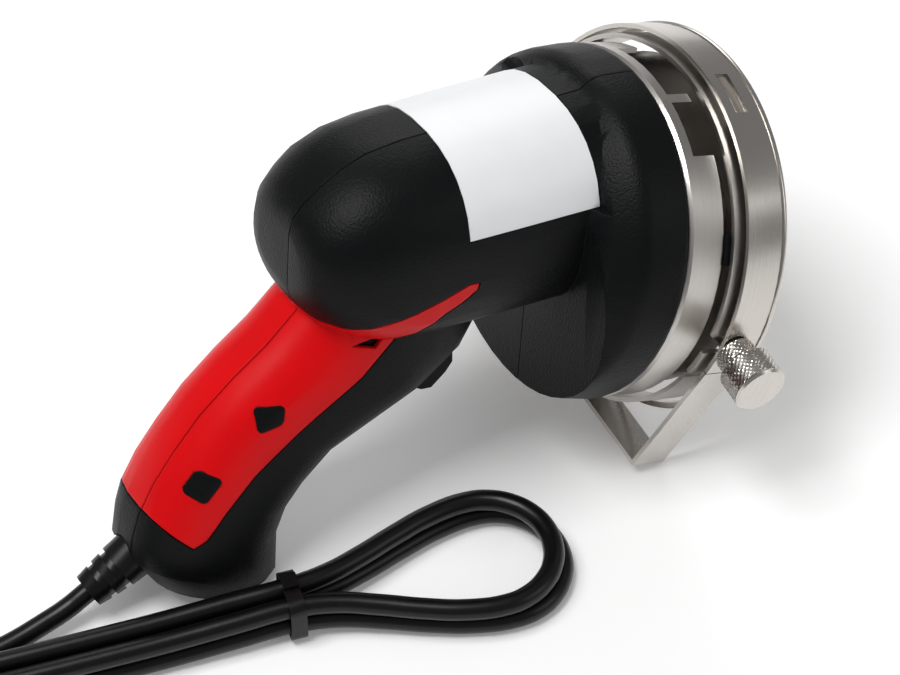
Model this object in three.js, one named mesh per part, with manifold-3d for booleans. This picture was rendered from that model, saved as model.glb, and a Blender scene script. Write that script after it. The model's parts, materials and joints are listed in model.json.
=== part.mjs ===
// Hand-held electric kebab slicer: pistol-grip clamshell, motor barrel, pitched cutting head
// with a round blade inside a steel cup, a sliding gauge band with a V guard, and a mains cord.
// Millimetres, +Z up. The tool lies as photographed: on the gauge band and the butt of the grip.
import * as THREE from 'three';
import { mergeVertices } from 'three/addons/utils/BufferGeometryUtils.js';
import Module from 'manifold-3d';

const wasm = await Module();
wasm.setup();

// Rest pose of the tool on the floor
const REST_PITCH = 8.87;
const REST_ROLL = -8.54;
const HEAD_PITCH = 12.5;
const GUARD_TURN = 29.4;

// Clearances
const GAP = 0.3;
const HOLE_GAP = 0.3;

// Clamshell
const WALL = 3.4;
const PARTING_Y = -5;
const BARREL_AXIS_Z = 22;
const BARREL_SIDES = 32;
const REAR_ROUND = -102.5;
const HANDLE_SIDES = 26;
const GRIP_DEPTH = 1.4;
const GRIP_GAP = 0.4;
const LABEL_REAR_X = -75;
const LABEL_FRONT_X = -32.6;
const LABEL_RIGHT_Z = 32;
const LABEL_LEFT_Z = 36;
const LABEL_THICK = 0.3;

// Cutting head, along its own axis from the rear edge of the gauge band
const RIM_FRONT = -17;
const RIM_R = 53.2;
const BOWL_WALL = 3.4;
const BOWL_REAR_X = -37;
const CUP_R = 53;
const CUP_SHEET = 1.5;
const CUP_FRONT = -5;
const INNER_R = 55.6;
const INNER_SHEET = 1.4;
const INNER_REAR = -3;
const INNER_FRONT = 11;
const BAND_R = 58.5;
const BAND_SHEET = 1.3;
const BAND_FRONT = 14;
const FLANGE_CLEAR = 0.5;
const BAND_FLANGE_R = INNER_R + FLANGE_CLEAR;
const BLADE_R = 50;
const BLADE_STATION = 8.6;
const V_HALF_ANGLE = 51;
const V_REAR = 0;
const V_FRONT = 11.8;
const V_SHEET = 1.4;
const SCREW_ANGLE = 102;
const SCREW_STATION = 4.4;
const STUD_ANGLE = 22;

// Drive
const MOTOR_SHAFT_R = 2.5;
const STATOR_R = 24.4;
const ARMATURE_R = 15;
const AIR_GAP = 0.7;
const PINION_TEETH = 10;
const GEAR_TEETH = 30;
const GEAR_STATION = -33.5;
const GEAR_FACE = 3;
const SPINDLE_R = 5;

// Cord
const CORD_R = 3.2;

const rad = (d) => d * Math.PI / 180;

// Materials
const black = new THREE.MeshStandardMaterial({ color: 0x17181a, roughness: 0.62 });
const red = new THREE.MeshStandardMaterial({ color: 0xd01c1c, roughness: 0.45 });
const white = new THREE.MeshStandardMaterial({ color: 0xf2f2f0, roughness: 0.5 });
const steel = new THREE.MeshStandardMaterial({ color: 0xc4c6c8, roughness: 0.28, metalness: 1 });
const darkSteel = new THREE.MeshStandardMaterial({ color: 0x8d9094, roughness: 0.4, metalness: 1 });
const aluminium = new THREE.MeshStandardMaterial({ color: 0xb4b6b8, roughness: 0.5, metalness: 1 });
const copper = new THREE.MeshStandardMaterial({ color: 0xb0703c, roughness: 0.4, metalness: 1 });
const rubber = new THREE.MeshStandardMaterial({ color: 0x101112, roughness: 0.55 });
const nylon = new THREE.MeshStandardMaterial({ color: 0xe6e0d0, roughness: 0.6 });

// Solid helpers
function solid(geometry) {
  let g = geometry.clone();
  g.deleteAttribute('normal');
  g.deleteAttribute('uv');
  g = mergeVertices(g, 1e-4);
  return new wasm.Manifold(new wasm.Mesh({
    numProp: 3,
    vertProperties: new Float32Array(g.attributes.position.array),
    triVerts: new Uint32Array(g.index.array),
  }));
}

// Flat strips thinner than this are merged on the moulded shells
const SLIVER = 0.08;
function toMesh(body, name, material, sliver = 0.004) {
  const m = body.simplify(sliver).getMesh();
  const g = new THREE.BufferGeometry();
  g.setAttribute('position', new THREE.BufferAttribute(new Float32Array(m.vertProperties), 3));
  g.setIndex(Array.from(m.triVerts));
  g.computeVertexNormals();
  const mesh = new THREE.Mesh(g, material);
  mesh.name = name;
  return mesh;
}

// One node for each body of a set
function addEach(group, bodies, names, material) {
  bodies.forEach((b, i) => group.add(toMesh(b, names[i], material)));
}

function numbered(name, count) {
  return Array.from({ length: count }, (unused, i) => `${name}_${i + 1}`);
}

function box(x0, x1, y0, y1, z0, z1) {
  const g = new THREE.BoxGeometry(x1 - x0, y1 - y0, z1 - z0);
  g.translate((x0 + x1) / 2, (y0 + y1) / 2, (z0 + z1) / 2);
  return solid(g);
}

// Turned body about X: profile of [station, radius]
function turned(profile, segments = 48) {
  const pts = profile.map(([n, r]) => new THREE.Vector2(Math.max(r, 0), n));
  const g = new THREE.LatheGeometry(pts, segments);
  g.rotateZ(-Math.PI / 2);
  g.rotateX(Math.PI / segments);
  return closedOut(g);
}

// Faces outward whichever way the profile runs
function closedOut(g) {
  const p = g.attributes.position;
  const idx = g.index.array;
  let v = 0;
  const a = new THREE.Vector3();
  const b = new THREE.Vector3();
  const c = new THREE.Vector3();
  for (let i = 0; i < idx.length; i += 3) {
    a.fromBufferAttribute(p, idx[i]);
    b.fromBufferAttribute(p, idx[i + 1]);
    c.fromBufferAttribute(p, idx[i + 2]);
    v += a.dot(b.cross(c));
  }
  if (v < 0) {
    for (let i = 0; i < idx.length; i += 3) {
      const t = idx[i];
      idx[i] = idx[i + 1];
      idx[i + 1] = t;
    }
  }
  return solid(g);
}

function tubeRing(n0, n1, r0, r1, segments = 72) {
  return turned([[n0, r0], [n1, r0], [n1, r1], [n0, r1], [n0, r0]], segments);
}

function rod(n0, n1, r, segments = 24) {
  return turned([[n0, 0], [n0, r], [n1, r], [n1, 0]], segments);
}

// Plate from an outline in X-Z, standing from y0 to y1
function plateXZ(points, y0, y1) {
  const s = new THREE.Shape(points.map(([x, z]) => new THREE.Vector2(x, z)));
  const g = new THREE.ExtrudeGeometry(s, { depth: y1 - y0, bevelEnabled: false, curveSegments: 8 });
  g.rotateX(Math.PI / 2);
  g.translate(0, y1, 0);
  return solid(g);
}

// Plate from an outline in Y-Z, standing from x0 to x1
function plateYZ(points, x0, x1) {
  const s = new THREE.Shape(points.map(([y, z]) => new THREE.Vector2(y, z)));
  const g = new THREE.ExtrudeGeometry(s, { depth: x1 - x0, bevelEnabled: false, curveSegments: 8 });
  g.rotateY(Math.PI / 2);
  g.rotateX(Math.PI / 2);
  g.translate(x0, 0, 0);
  return solid(g);
}

// Round bar along Y
function pinY(x, z, r, y0, y1, segments = 12) {
  const g = new THREE.CylinderGeometry(r, r, y1 - y0, segments);
  g.translate(x, (y0 + y1) / 2, z);
  return solid(g);
}

// Skin through closed loops of points, closed at both ends
function loft(loops) {
  const n = loops[0].length;
  const pos = [];
  const idx = [];
  loops.forEach((l) => l.forEach((p) => pos.push(...p)));
  for (let i = 0; i + 1 < loops.length; i += 1) {
    for (let j = 0; j < n; j += 1) {
      const a = i * n + j;
      const b = i * n + (j + 1) % n;
      idx.push(a, b, b + n, a, b + n, a + n);
    }
  }
  [0, loops.length - 1].forEach((k) => {
    const c = pos.length / 3;
    const mid = [0, 1, 2].map((t) => loops[k].reduce((s, p) => s + p[t], 0) / n);
    pos.push(...mid);
    for (let j = 0; j < n; j += 1) {
      const a = k * n + j;
      const b = k * n + (j + 1) % n;
      if (k === 0) idx.push(c, b, a);
      else idx.push(c, a, b);
    }
  });
  const g = new THREE.BufferGeometry();
  g.setAttribute('position', new THREE.BufferAttribute(new Float32Array(pos), 3));
  g.setIndex(idx);
  return closedOut(g);
}

// Superellipse loop: centre, two half axes as vectors, squareness
function oval(c, u, v, square, count) {
  const out = [];
  for (let j = 0; j < count; j += 1) {
    const t = 2 * Math.PI * (j + 0.5) / count;
    const cu = Math.sign(Math.cos(t)) * Math.abs(Math.cos(t)) ** (2 / square);
    const sv = Math.sign(Math.sin(t)) * Math.abs(Math.sin(t)) ** (2 / square);
    out.push([0, 1, 2].map((k) => c[k] + u[k] * cu + v[k] * sv));
  }
  return out;
}

// Turns a body about the Y axis, then about nothing else: head frame to tool frame
function headToTool(body) {
  return body.rotate([0, HEAD_PITCH, 0]);
}

// Clamshell outer forms. Each is grown or shrunk by one distance.
const BARREL = [
  // station, half width, bottom, top
  [-118.2, 12.4, 13.4, 31.6],
  [-117.1, 17.8, 9.2, 36.3],
  [-114, 22.4, 4.3, 40.5],
  [-109, 26, -0.3, 44.6],
  [-103, 29, -4.4, 48.4],
  [-95, 30.9, -7.4, 51.4],
  [-84, 31.8, -9, 52.9],
  [-60, 32.2, -9.6, 53.6],
  [-38, 32.4, -9.8, 54],
  [-22, 32.4, -9.8, 54.2],
];

function barrel(grow, sides = BARREL_SIDES) {
  const rear = BARREL[0][0];
  return loft(BARREL.map(([x, w, lo, hi]) => {
    const end = -grow * Math.max(0, (REAR_ROUND - x) / (REAR_ROUND - rear));
    const mid = (lo + hi) / 2;
    return oval([x + end, 0, mid], [0, w + grow, 0], [0, 0, (hi - lo) / 2 + grow], 2.35, sides);
  }));
}

const HANDLE = [
  // back point, front point, half width
  [[-105, 18], [-50, 0], 20],
  [[-116, 4.5], [-60.5, -20.5], 20.3],
  [[-125, -4.5], [-73.5, -31], 20.2],
  [[-135.2, -12.5], [-88.5, -38], 19.6],
  [[-145.5, -22.2], [-101.5, -43.5], 19.3],
  [[-153.6, -32.4], [-111, -52], 19.5],
  [[-160, -42], [-117.5, -60], 20],
  [[-164.6, -51.6], [-120.5, -68], 20.6],
  [[-166.4, -58.4], [-120.4, -75], 20.8],
  [[-167.6, -66], [-120, -82], 20],
  [[-160, -78], [-124, -91], 15],
];

function handle(grow, sides = HANDLE_SIDES) {
  return loft(HANDLE.map(([b, f, w]) => {
    const dx = (f[0] - b[0]) / 2;
    const dz = (f[1] - b[1]) / 2;
    const len = Math.hypot(dx, dz);
    const k = (len + grow) / len;
    return oval([(b[0] + f[0]) / 2, 0, (b[1] + f[1]) / 2], [dx * k, 0, dz * k], [0, w + grow, 0], 2.5, sides);
  }));
}

function bowl(grow) {
  const g = grow;
  const body = turned([
    [-44 - g, 0], [-44 - g, 30], [-42 - g * 0.8, 38 + g * 0.4], [-38 - g * 0.7, 45 + g * 0.6], [-34 - g * 0.4, 49.6 + g * 0.9],
    [-31.5, 51.4 + g], [-29, 52.1 + g], [-19, RIM_R + g], [RIM_FRONT - 0.6, RIM_R - 0.3 + g], [RIM_FRONT, RIM_R - 1 + g],
    [RIM_FRONT, 0],
  ], 48);
  const keep = box(BOWL_REAR_X - g, 40, -80, 80, -90, 90);
  return headToTool(body).intersect(keep);
}

// Floor plane under the tool, and the flat it leaves on the butt
const W = new THREE.Vector3(0, 0, 1)
  .applyEuler(new THREE.Euler(rad(REST_ROLL), rad(REST_PITCH), 0, 'YXZ'));
const restEuler = new THREE.Euler(rad(REST_ROLL), rad(REST_PITCH), 0, 'YXZ');
const restQuat = new THREE.Quaternion().setFromEuler(restEuler);
const upInTool = new THREE.Vector3(0, 0, 1).applyQuaternion(restQuat.clone().invert());
const headN = new THREE.Vector3(Math.cos(rad(HEAD_PITCH)), 0, -Math.sin(rad(HEAD_PITCH)));
const headU = new THREE.Vector3(Math.sin(rad(HEAD_PITCH)), 0, Math.cos(rad(HEAD_PITCH)));
const bandDrop = BAND_R * Math.hypot(upInTool.y, upInTool.dot(headU)) - BAND_FRONT * upInTool.dot(headN);
const FLOOR_DROP = bandDrop;

function aboveFloor(clear) {
  const half = new THREE.BoxGeometry(900, 900, 400);
  half.translate(0, 0, 200 - FLOOR_DROP + clear);
  half.applyQuaternion(restQuat.clone().invert());
  return solid(half);
}

const outer = barrel(0).add(handle(0)).add(bowl(0)).intersect(aboveFloor(0));
const INNER_SIDES = 16;
const inner = barrel(-WALL, INNER_SIDES).add(handle(-WALL, INNER_SIDES)).intersect(aboveFloor(WALL));
const bowlInner = headToTool(turned([
  [-40, 0], [-40, 30], [-36.5, 40], [-32, 46.4], [-28.5, 48.7], [RIM_FRONT + 1, RIM_R - BOWL_WALL], [RIM_FRONT + 1, 0],
], 28)).intersect(box(BOWL_REAR_X + WALL, 40, -80, 80, -90, 90));
const cavity = inner.intersect(box(-200, BOWL_REAR_X + 12, -80, 80, -100, 60)).add(bowlInner);

// Red grip panels wrap the back and the sides of the grip and run to a wedge under the barrel
const GRIP_OUTLINE = [
  [-130, 17], [-121, 10.5], [-114, 6.8], [-107, 6.2], [-99, 8.6], [-91.5, 11.2], [-82.3, 14.6], [-74.5, 17.8], [-71.6, 17.4],
  [-71.8, 15.4], [-74.9, 12.8], [-81.2, 8.4], [-88, 0.4], [-101.3, -13.6], [-120.3, -26.9], [-134.2, -37.9], [-144.2, -48.6], [-149.9, -55.7],
  [-153.7, -58], [-157, -55.3], [-163, -50.1], [-171, -46], [-178, -40], [-162, -18], [-142, 2],
];
const PAD_CORNER = 1.3;
const PADS = [
  [[-133.2, -17.4], [-124.5, -17.4], [-125.4, -23], [-133, -25]],
  [[-150, -34.2], [-143.8, -37.5], [-149.6, -44.3], [-155.2, -40.8]],
].map((p) => cutCorners(p, PAD_CORNER));
// Small open triangles below the wedge
const GRIP_WINDOW = [[-104.6, -2.8], [-93.6, -0.2], [-97.1, -4.8]];

// Outline with each corner cut off at one distance
function cutCorners(points, d) {
  return points.flatMap((p, i) => {
    const a = points[(i + points.length - 1) % points.length];
    const b = points[(i + 1) % points.length];
    return [a, b].map((q) => {
      const k = d / Math.hypot(q[0] - p[0], q[1] - p[1]);
      return [p[0] + (q[0] - p[0]) * k, p[1] + (q[1] - p[1]) * k];
    });
  });
}

// Outline moved outward by one distance
function offsetOutline(points, d) {
  const n = points.length;
  let area = 0;
  points.forEach(([x, z], i) => {
    const q = points[(i + 1) % n];
    area += x * q[1] - q[0] * z;
  });
  const s = area > 0 ? 1 : -1;
  return points.map((p, i) => {
    const a = points[(i + n - 1) % n];
    const b = points[(i + 1) % n];
    const u = new THREE.Vector2(p[0] - a[0], p[1] - a[1]).normalize();
    const v = new THREE.Vector2(b[0] - p[0], b[1] - p[1]).normalize();
    const nu = new THREE.Vector2(u.y, -u.x).multiplyScalar(s);
    const nv = new THREE.Vector2(v.y, -v.x).multiplyScalar(s);
    const k = d / Math.max(0.35, 1 + nu.dot(nv));
    return [p[0] + (nu.x + nv.x) * k, p[1] + (nu.y + nv.y) * k];
  });
}

const padHoles = PADS.map((p) => plateXZ(p, -60, 60)).reduce((a, b) => a.add(b));
const padBodies = PADS.map((p) => plateXZ(offsetOutline(p, -GAP), -60, 60)).reduce((a, b) => a.add(b));
const gripPrism = plateXZ(GRIP_OUTLINE, -60, 60);
const gripRecess = plateXZ(offsetOutline(GRIP_OUTLINE, GRIP_GAP), -60, 60).subtract(padBodies);
const gripSkinIn = barrel(-GRIP_DEPTH).add(handle(-GRIP_DEPTH));
const gripFloor = barrel(-GRIP_DEPTH - GRIP_GAP).add(handle(-GRIP_DEPTH - GRIP_GAP));
const gripLayer = outer.intersect(gripPrism).subtract(gripSkinIn).subtract(padHoles).subtract(plateXZ(GRIP_WINDOW, -60, 60));

// Bare label over the top of the barrel
const labelZone = plateYZ([[-60, LABEL_RIGHT_Z], [0, LABEL_RIGHT_Z], [0, LABEL_LEFT_Z], [60, LABEL_LEFT_Z], [60, 90], [-60, 90]], LABEL_REAR_X, LABEL_FRONT_X);
const labelBed = plateYZ([
  [-60, LABEL_RIGHT_Z - GAP], [0, LABEL_RIGHT_Z - GAP], [0, LABEL_LEFT_Z - GAP], [60, LABEL_LEFT_Z - GAP], [60, 90], [-60, 90],
], LABEL_REAR_X - GAP, LABEL_FRONT_X + GAP);
const label = barrel(0.1).subtract(barrel(0.1 - LABEL_THICK)).intersect(labelZone);

// Trigger window in the front of the grip
const TRIGGER_WINDOW = [
  [-67.6, -15.6], [-74.5, -20.6], [-82.6, -27], [-80, -29.6], [-76.4, -38], [-63, -38], [-55, -29], [-63.2, -22.6],
];
const triggerWindow = plateXZ(TRIGGER_WINDOW, -13.4, 13.4);
const TRIGGER_FACE = [
  [-67.4, -19.6], [-73.6, -23.8], [-79.4, -28.2], [-77.4, -31], [-75.4, -33.6], [-73.6, -34.6], [-70.2, -35], [-65.6, -30.8],
  [-63.4, -27.6], [-63.6, -23.8],
];
const TRIGGER_PIVOT = [-68.5, -12.5];
const TRIGGER_HALF = 8.4;
const PIN_HALF = 11;

// Screw bosses across the shell
const BOSSES = [[-107, -6.5], [-45.5, -4.5], [-131, -22], [-146, -62], [-27, 45.5]];
const SCREW_SEAT_Y = 11;
const bossBodies = BOSSES.map(([x, z]) => pinY(x, z, 4, -60, 60)).reduce((a, b) => a.add(b))
  .intersect(barrel(-2.6, INNER_SIDES).add(handle(-2.6, INNER_SIDES)).add(bowl(-1.5)));
const bossHoles = BOSSES.map(([x, z]) => pinY(x, z, 1.5 + HOLE_GAP, PARTING_Y - 12, 60)
  .add(pinY(x, z, 2.8 + HOLE_GAP, SCREW_SEAT_Y, 60))).reduce((a, b) => a.add(b));

// Sockets that hold the ends of the trigger pin
const pinSockets = pinY(TRIGGER_PIVOT[0], TRIGGER_PIVOT[1], 3.4, 6.6, 40, 16)
  .add(pinY(TRIGGER_PIVOT[0], TRIGGER_PIVOT[1], 3.4, -40, -6.6, 16))
  .intersect(handle(-2.6, INNER_SIDES))
  .subtract(pinY(TRIGGER_PIVOT[0], TRIGGER_PIVOT[1], 1.5 + HOLE_GAP, -PIN_HALF - GAP, PIN_HALF + GAP, 16));

// Bearing ribs across the barrel
const REAR_BEARING = [-111, -106];
const FRONT_BEARING = [-54, -49];
const BEARING_R = 8;
const ribs = [REAR_BEARING, FRONT_BEARING].map(([x0, x1]) => box(x0 + 0.8, x1 - 0.8, -40, 40, -30, 60)
  .intersect(barrel(-2.6, INNER_SIDES)))
  .reduce((a, b) => a.add(b))
  .subtract(rod(-140, 0, BEARING_R + GAP, 28).translate([0, 0, BARREL_AXIS_Z]))
  .subtract(box(-120, -40, -9, 9, -40, BARREL_AXIS_Z - 12));
const statorRibs = [-92, -78].map((x) => box(x - 1, x + 1, -40, 40, -30, 60).intersect(barrel(-2.6, INNER_SIDES)))
  .reduce((a, b) => a.add(b))
  .subtract(rod(-140, 0, STATOR_R + GAP, 48).translate([0, 0, BARREL_AXIS_Z]))
  .subtract(box(-120, -40, -12, 12, -40, BARREL_AXIS_Z));

// Cord hole through the butt, along the gland
const GLAND_AT = [-163.5, 0, -70];
const GLAND_DIP = 31;
const BOOT_END = 17;
const glandTurn = [0, -GLAND_DIP, 0];
function onGland(body) {
  return body.rotate([0, 180, 0]).rotate(glandTurn).translate(GLAND_AT);
}
const glandHole = onGland(rod(-16, -5.3, 7.6 + GAP, 20).add(rod(-8, 0, 5.6 + GAP, 20)).add(rod(-1.3, 24, 7.6 + GAP, 20)));

// Grille of air slots on the barrel's left and right rear shoulders
const vents = [];
for (let i = 0; i < 5; i += 1) vents.push(box(-104 + i * 5.2, -101.6 + i * 5.2, 8, 60, 26, 40));
const ventCuts = vents.reduce((a, b) => a.add(b));

const shell = outer
  .subtract(gripRecess.subtract(gripFloor))
  .subtract(labelBed.subtract(barrel(0.1 - LABEL_THICK - GAP)))
  .subtract(cavity)
  .add(bossBodies)
  .add(pinSockets)
  .add(ribs)
  .add(statorRibs)
  .subtract(bossHoles)
  .subtract(triggerWindow)
  .subtract(glandHole)
  .subtract(ventCuts);

const SPLIT = 0.15;
const leftSide = box(-300, 100, PARTING_Y + SPLIT, 100, -200, 200);
const rightSide = box(-300, 100, -100, PARTING_Y - SPLIT, -200, 200);

function biggest(body) {
  return body.decompose().sort((a, b) => b.volume() - a.volume())[0];
}

const tool = new THREE.Group();
tool.name = 'tool';
const head = new THREE.Group();
head.name = 'head';
head.rotation.y = rad(HEAD_PITCH);
tool.add(head);
const guard = new THREE.Group();
guard.name = 'guard';
guard.rotation.x = rad(-GUARD_TURN);
head.add(guard);

tool.add(toMesh(biggest(shell.intersect(leftSide)), 'housing_left', black, SLIVER));
tool.add(toMesh(biggest(shell.intersect(rightSide)), 'housing_right', black, SLIVER));
tool.add(toMesh(biggest(gripLayer.intersect(leftSide).subtract(bossHoles)), 'grip_left', red, SLIVER));
tool.add(toMesh(biggest(gripLayer.intersect(rightSide)), 'grip_right', red, SLIVER));
tool.add(toMesh(biggest(label), 'rating_label', white, SLIVER));

// Housing screws, put in from the left
const housingScrews = BOSSES.map(([x, z]) => pinY(x, z, 1.5, PARTING_Y - 10, SCREW_SEAT_Y + 0.5)
  .add(pinY(x, z, 2.8, SCREW_SEAT_Y + GAP, SCREW_SEAT_Y + 2.4))
  .subtract(box(x - 0.4, x + 0.4, SCREW_SEAT_Y + 1.4, SCREW_SEAT_Y + 4, z - 2, z + 2)));
addEach(tool, housingScrews, numbered('housing_screw', BOSSES.length), darkSteel);

// Trigger with its pivot pin and switch
const triggerArm = plateXZ([[-72, -9.5], [-65.6, -9.5], [-67.4, -18], [-68, -22], [-73.6, -25], [-75, -21]], -6, 6);
const triggerBody = plateXZ(TRIGGER_FACE, -TRIGGER_HALF, TRIGGER_HALF)
  .add(triggerArm)
  .subtract(pinY(TRIGGER_PIVOT[0], TRIGGER_PIVOT[1], 1.5 + 0.05, -30, 30, 28));
tool.add(toMesh(biggest(triggerBody), 'trigger', black));
tool.add(toMesh(pinY(TRIGGER_PIVOT[0], TRIGGER_PIVOT[1], 1.5, -PIN_HALF, PIN_HALF, 28), 'trigger_pin', darkSteel));
const switchBody = plateXZ([[-99, -31], [-85, -25], [-79, -13], [-93, -7], [-101, -15]], -8, 8)
  .add(plateXZ([[-86, -23], [-83.6, -25.4], [-81.8, -24], [-83.6, -19]], -3, 3))
  .add(plateXZ([[-97, -28], [-90, -25.5], [-88, -17], [-95, -15]], -30, 30).intersect(handle(-WALL - GAP, INNER_SIDES)));
tool.add(toMesh(biggest(switchBody), 'switch', nylon));

// Motor
function onMotor(body) {
  return body.translate([0, 0, BARREL_AXIS_Z]);
}
const stator = tubeRing(-96.4, -69, ARMATURE_R + AIR_GAP, STATOR_R, 48)
  .subtract(box(-120, -60, 21.5, 40, -14, 14)).subtract(box(-120, -60, -40, -21.5, -14, 14))
  .subtract(rod(-120, -60, 1.6, 16).translate([0, 0, 20]))
  .subtract(rod(-120, -60, 1.6, 16).translate([0, 0, -20]));
tool.add(toMesh(onMotor(stator), 'stator', darkSteel));
let armature = rod(-96, -69.5, ARMATURE_R, 48);
for (let i = 0; i < 12; i += 1) {
  const slot = box(-110, -60, -0.9, 0.9, 9.5, 20).rotate([i * 30, 0, 0]);
  armature = armature.subtract(slot);
}
armature = armature.add(rod(-112.8, -26.2, MOTOR_SHAFT_R, 24));
tool.add(toMesh(onMotor(armature), 'armature', copper));
let commutator = tubeRing(-105.2, -100.8, MOTOR_SHAFT_R + GAP, 8, 36);
for (let i = 0; i < 12; i += 1) {
  commutator = commutator.subtract(box(-112, -100, -0.35, 0.35, 6.6, 12).rotate([i * 30, 0, 0]));
}
tool.add(toMesh(onMotor(commutator), 'commutator', copper));
const brushes = [box(-104.6, -101.2, 8.4, 15, -2.2, 2.2), box(-104.6, -101.2, -15, -8.4, -2.2, 2.2)];
addEach(tool, brushes.map(onMotor), ['brush_left', 'brush_right'], darkSteel);
let fan = tubeRing(-64, -62.4, MOTOR_SHAFT_R + GAP, 21, 28).add(tubeRing(-64, -57.5, MOTOR_SHAFT_R + GAP, 5, 28));
for (let i = 0; i < 9; i += 1) {
  fan = fan.add(box(-62.6, -57.5, -0.6, 0.6, 4.6, 20.6).rotate([i * 40, 0, 0]));
}
tool.add(toMesh(onMotor(fan), 'fan', nylon));
const motorBearings = [REAR_BEARING, FRONT_BEARING]
  .map(([x0, x1]) => tubeRing(x0, x1, MOTOR_SHAFT_R + GAP, BEARING_R, 20)
    .subtract(tubeRing(x0 - 1, x0 + 0.7, 4.2, 6.4, 20)));
addEach(tool, motorBearings.map(onMotor), ['motor_bearing_rear', 'motor_bearing_front'], steel);

// Gear outline in Y-Z with straight-sided teeth
function gearOutline(teeth, pitchR, tipAdd, rootCut, phase) {
  const pts = [];
  const step = 2 * Math.PI / teeth;
  for (let i = 0; i < teeth; i += 1) {
    const c = phase + i * step;
    [[-0.29, -rootCut], [-0.14, tipAdd], [0.14, tipAdd], [0.29, -rootCut]].forEach(([f, h]) => {
      const t = c + f * step;
      pts.push([Math.sin(t) * (pitchR + h), Math.cos(t) * (pitchR + h)]);
    });
  }
  return pts;
}
const gearPlaneX = (GEAR_STATION + Math.sin(rad(HEAD_PITCH)) * BARREL_AXIS_Z) / Math.cos(rad(HEAD_PITCH));
const centreDistance = Math.sin(rad(HEAD_PITCH)) * gearPlaneX + Math.cos(rad(HEAD_PITCH)) * BARREL_AXIS_Z;
const gearModule = centreDistance * 2 / (PINION_TEETH + GEAR_TEETH);
const TOOTH_TIP = 0.42;
const TOOTH_ROOT = 1.15;
const pinion = plateYZ(gearOutline(PINION_TEETH, gearModule * PINION_TEETH / 2, TOOTH_TIP, TOOTH_ROOT * 0.6, Math.PI / PINION_TEETH), gearPlaneX - GEAR_FACE / 2, gearPlaneX + GEAR_FACE / 2)
  .subtract(rod(-60, 0, MOTOR_SHAFT_R + 0.02, 24));
tool.add(toMesh(onMotor(pinion), 'pinion', steel));
const driveGear = plateYZ(gearOutline(GEAR_TEETH, gearModule * GEAR_TEETH / 2, TOOTH_TIP, TOOTH_ROOT, 0), GEAR_STATION - GEAR_FACE / 2, GEAR_STATION + GEAR_FACE / 2)
  .subtract(rod(-60, 0, SPINDLE_R + GAP, 28));
head.add(toMesh(driveGear, 'drive_gear', steel));

// Spindle, its bearing plate and bearing
const PLATE_REAR = -25;
const PLATE_FRONT = -20.5;
const SPINDLE_BEARING_R = 11;
let spindle = turned([[-37, 0], [-37, SPINDLE_R - 0.6], [-36.4, SPINDLE_R], [-19, SPINDLE_R], [-19, 7], [5, 7], [5, 4], [14.4, 4], [15, 3.4], [15, 0]], 24);
head.add(toMesh(spindle, 'spindle', steel));
head.add(toMesh(tubeRing(-27.5, -20, SPINDLE_R + GAP, SPINDLE_BEARING_R, 24)
  .subtract(tubeRing(-29, -26.6, 7.4, 9.2, 24)), 'spindle_bearing', steel));
const MOUNT_HOLES = [45, 135, 225, 315];
function pinsOnRing(n0, n1, r, at) {
  return MOUNT_HOLES.map((d) => rod(n0, n1, r, 12).translate([0, at * Math.sin(rad(d)), at * Math.cos(rad(d))]));
}
function ringOfPins(n0, n1, r, at) {
  return pinsOnRing(n0, n1, r, at).reduce((a, b) => a.add(b));
}
const CUP_PCD_R = 32;
let bearingPlate = turned([[PLATE_REAR, SPINDLE_BEARING_R + GAP], [PLATE_FRONT, SPINDLE_BEARING_R + GAP], [PLATE_FRONT, 48.6], [PLATE_REAR + 1.5, 48.6],
  [PLATE_REAR + 1.5, 20], [PLATE_REAR, 18], [PLATE_REAR, SPINDLE_BEARING_R + GAP]], 40);
for (let i = 0; i < 8; i += 1) {
  bearingPlate = bearingPlate.subtract(rod(-40, 0, 4.5, 10).translate([0, 40 * Math.sin(rad(i * 45)), 40 * Math.cos(rad(i * 45))]));
}
bearingPlate = bearingPlate.subtract(ringOfPins(-40, 0, 1.7 + HOLE_GAP, CUP_PCD_R));
bearingPlate = bearingPlate.subtract(headToToolInverse(BOSSES[BOSSES.length - 1], 4.6));
head.add(toMesh(biggest(bearingPlate), 'bearing_plate', aluminium, SLIVER));

// Cross-hole through the head for a boss that stands along Y
function headToToolInverse([x, z], r) {
  return pinY(x, z, r, -60, 60).rotate([0, -HEAD_PITCH, 0]);
}

// Blade cup: brushed ring with a webbed back and a window beside the top
let cup = turned([[RIM_FRONT + 0.3 - 1.2, 12], [RIM_FRONT + 0.3, 12], [RIM_FRONT + 0.3, CUP_R - CUP_SHEET], [CUP_FRONT, CUP_R - CUP_SHEET], [CUP_FRONT, CUP_R],
  [RIM_FRONT + 0.3 + 0.9, CUP_R], [RIM_FRONT + 0.3, CUP_R - 1], [RIM_FRONT + 0.3, CUP_R - 4.4], [RIM_FRONT + 0.3 - 1.2, CUP_R - 4.4], [RIM_FRONT + 0.3 - 1.2, 12]], 64);
function wedge(n0, n1, a0, a1, r0, r1) {
  const s = new THREE.Shape();
  const steps = 10;
  for (let i = 0; i <= steps; i += 1) {
    const t = rad(a0 + (a1 - a0) * i / steps);
    s[i === 0 ? 'moveTo' : 'lineTo'](-Math.sin(t) * r1, Math.cos(t) * r1);
  }
  for (let i = steps; i >= 0; i -= 1) {
    const t = rad(a0 + (a1 - a0) * i / steps);
    s.lineTo(-Math.sin(t) * r0, Math.cos(t) * r0);
  }
  const pts = s.getPoints().map((p) => [p.x, p.y]);
  return plateYZ(pts, n0, n1);
}
cup = cup.subtract(wedge(-12.5, 0, -12, 17, 45, 60)).subtract(wedge(-12.5, 0, 20.5, 40, 45, 60));
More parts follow.
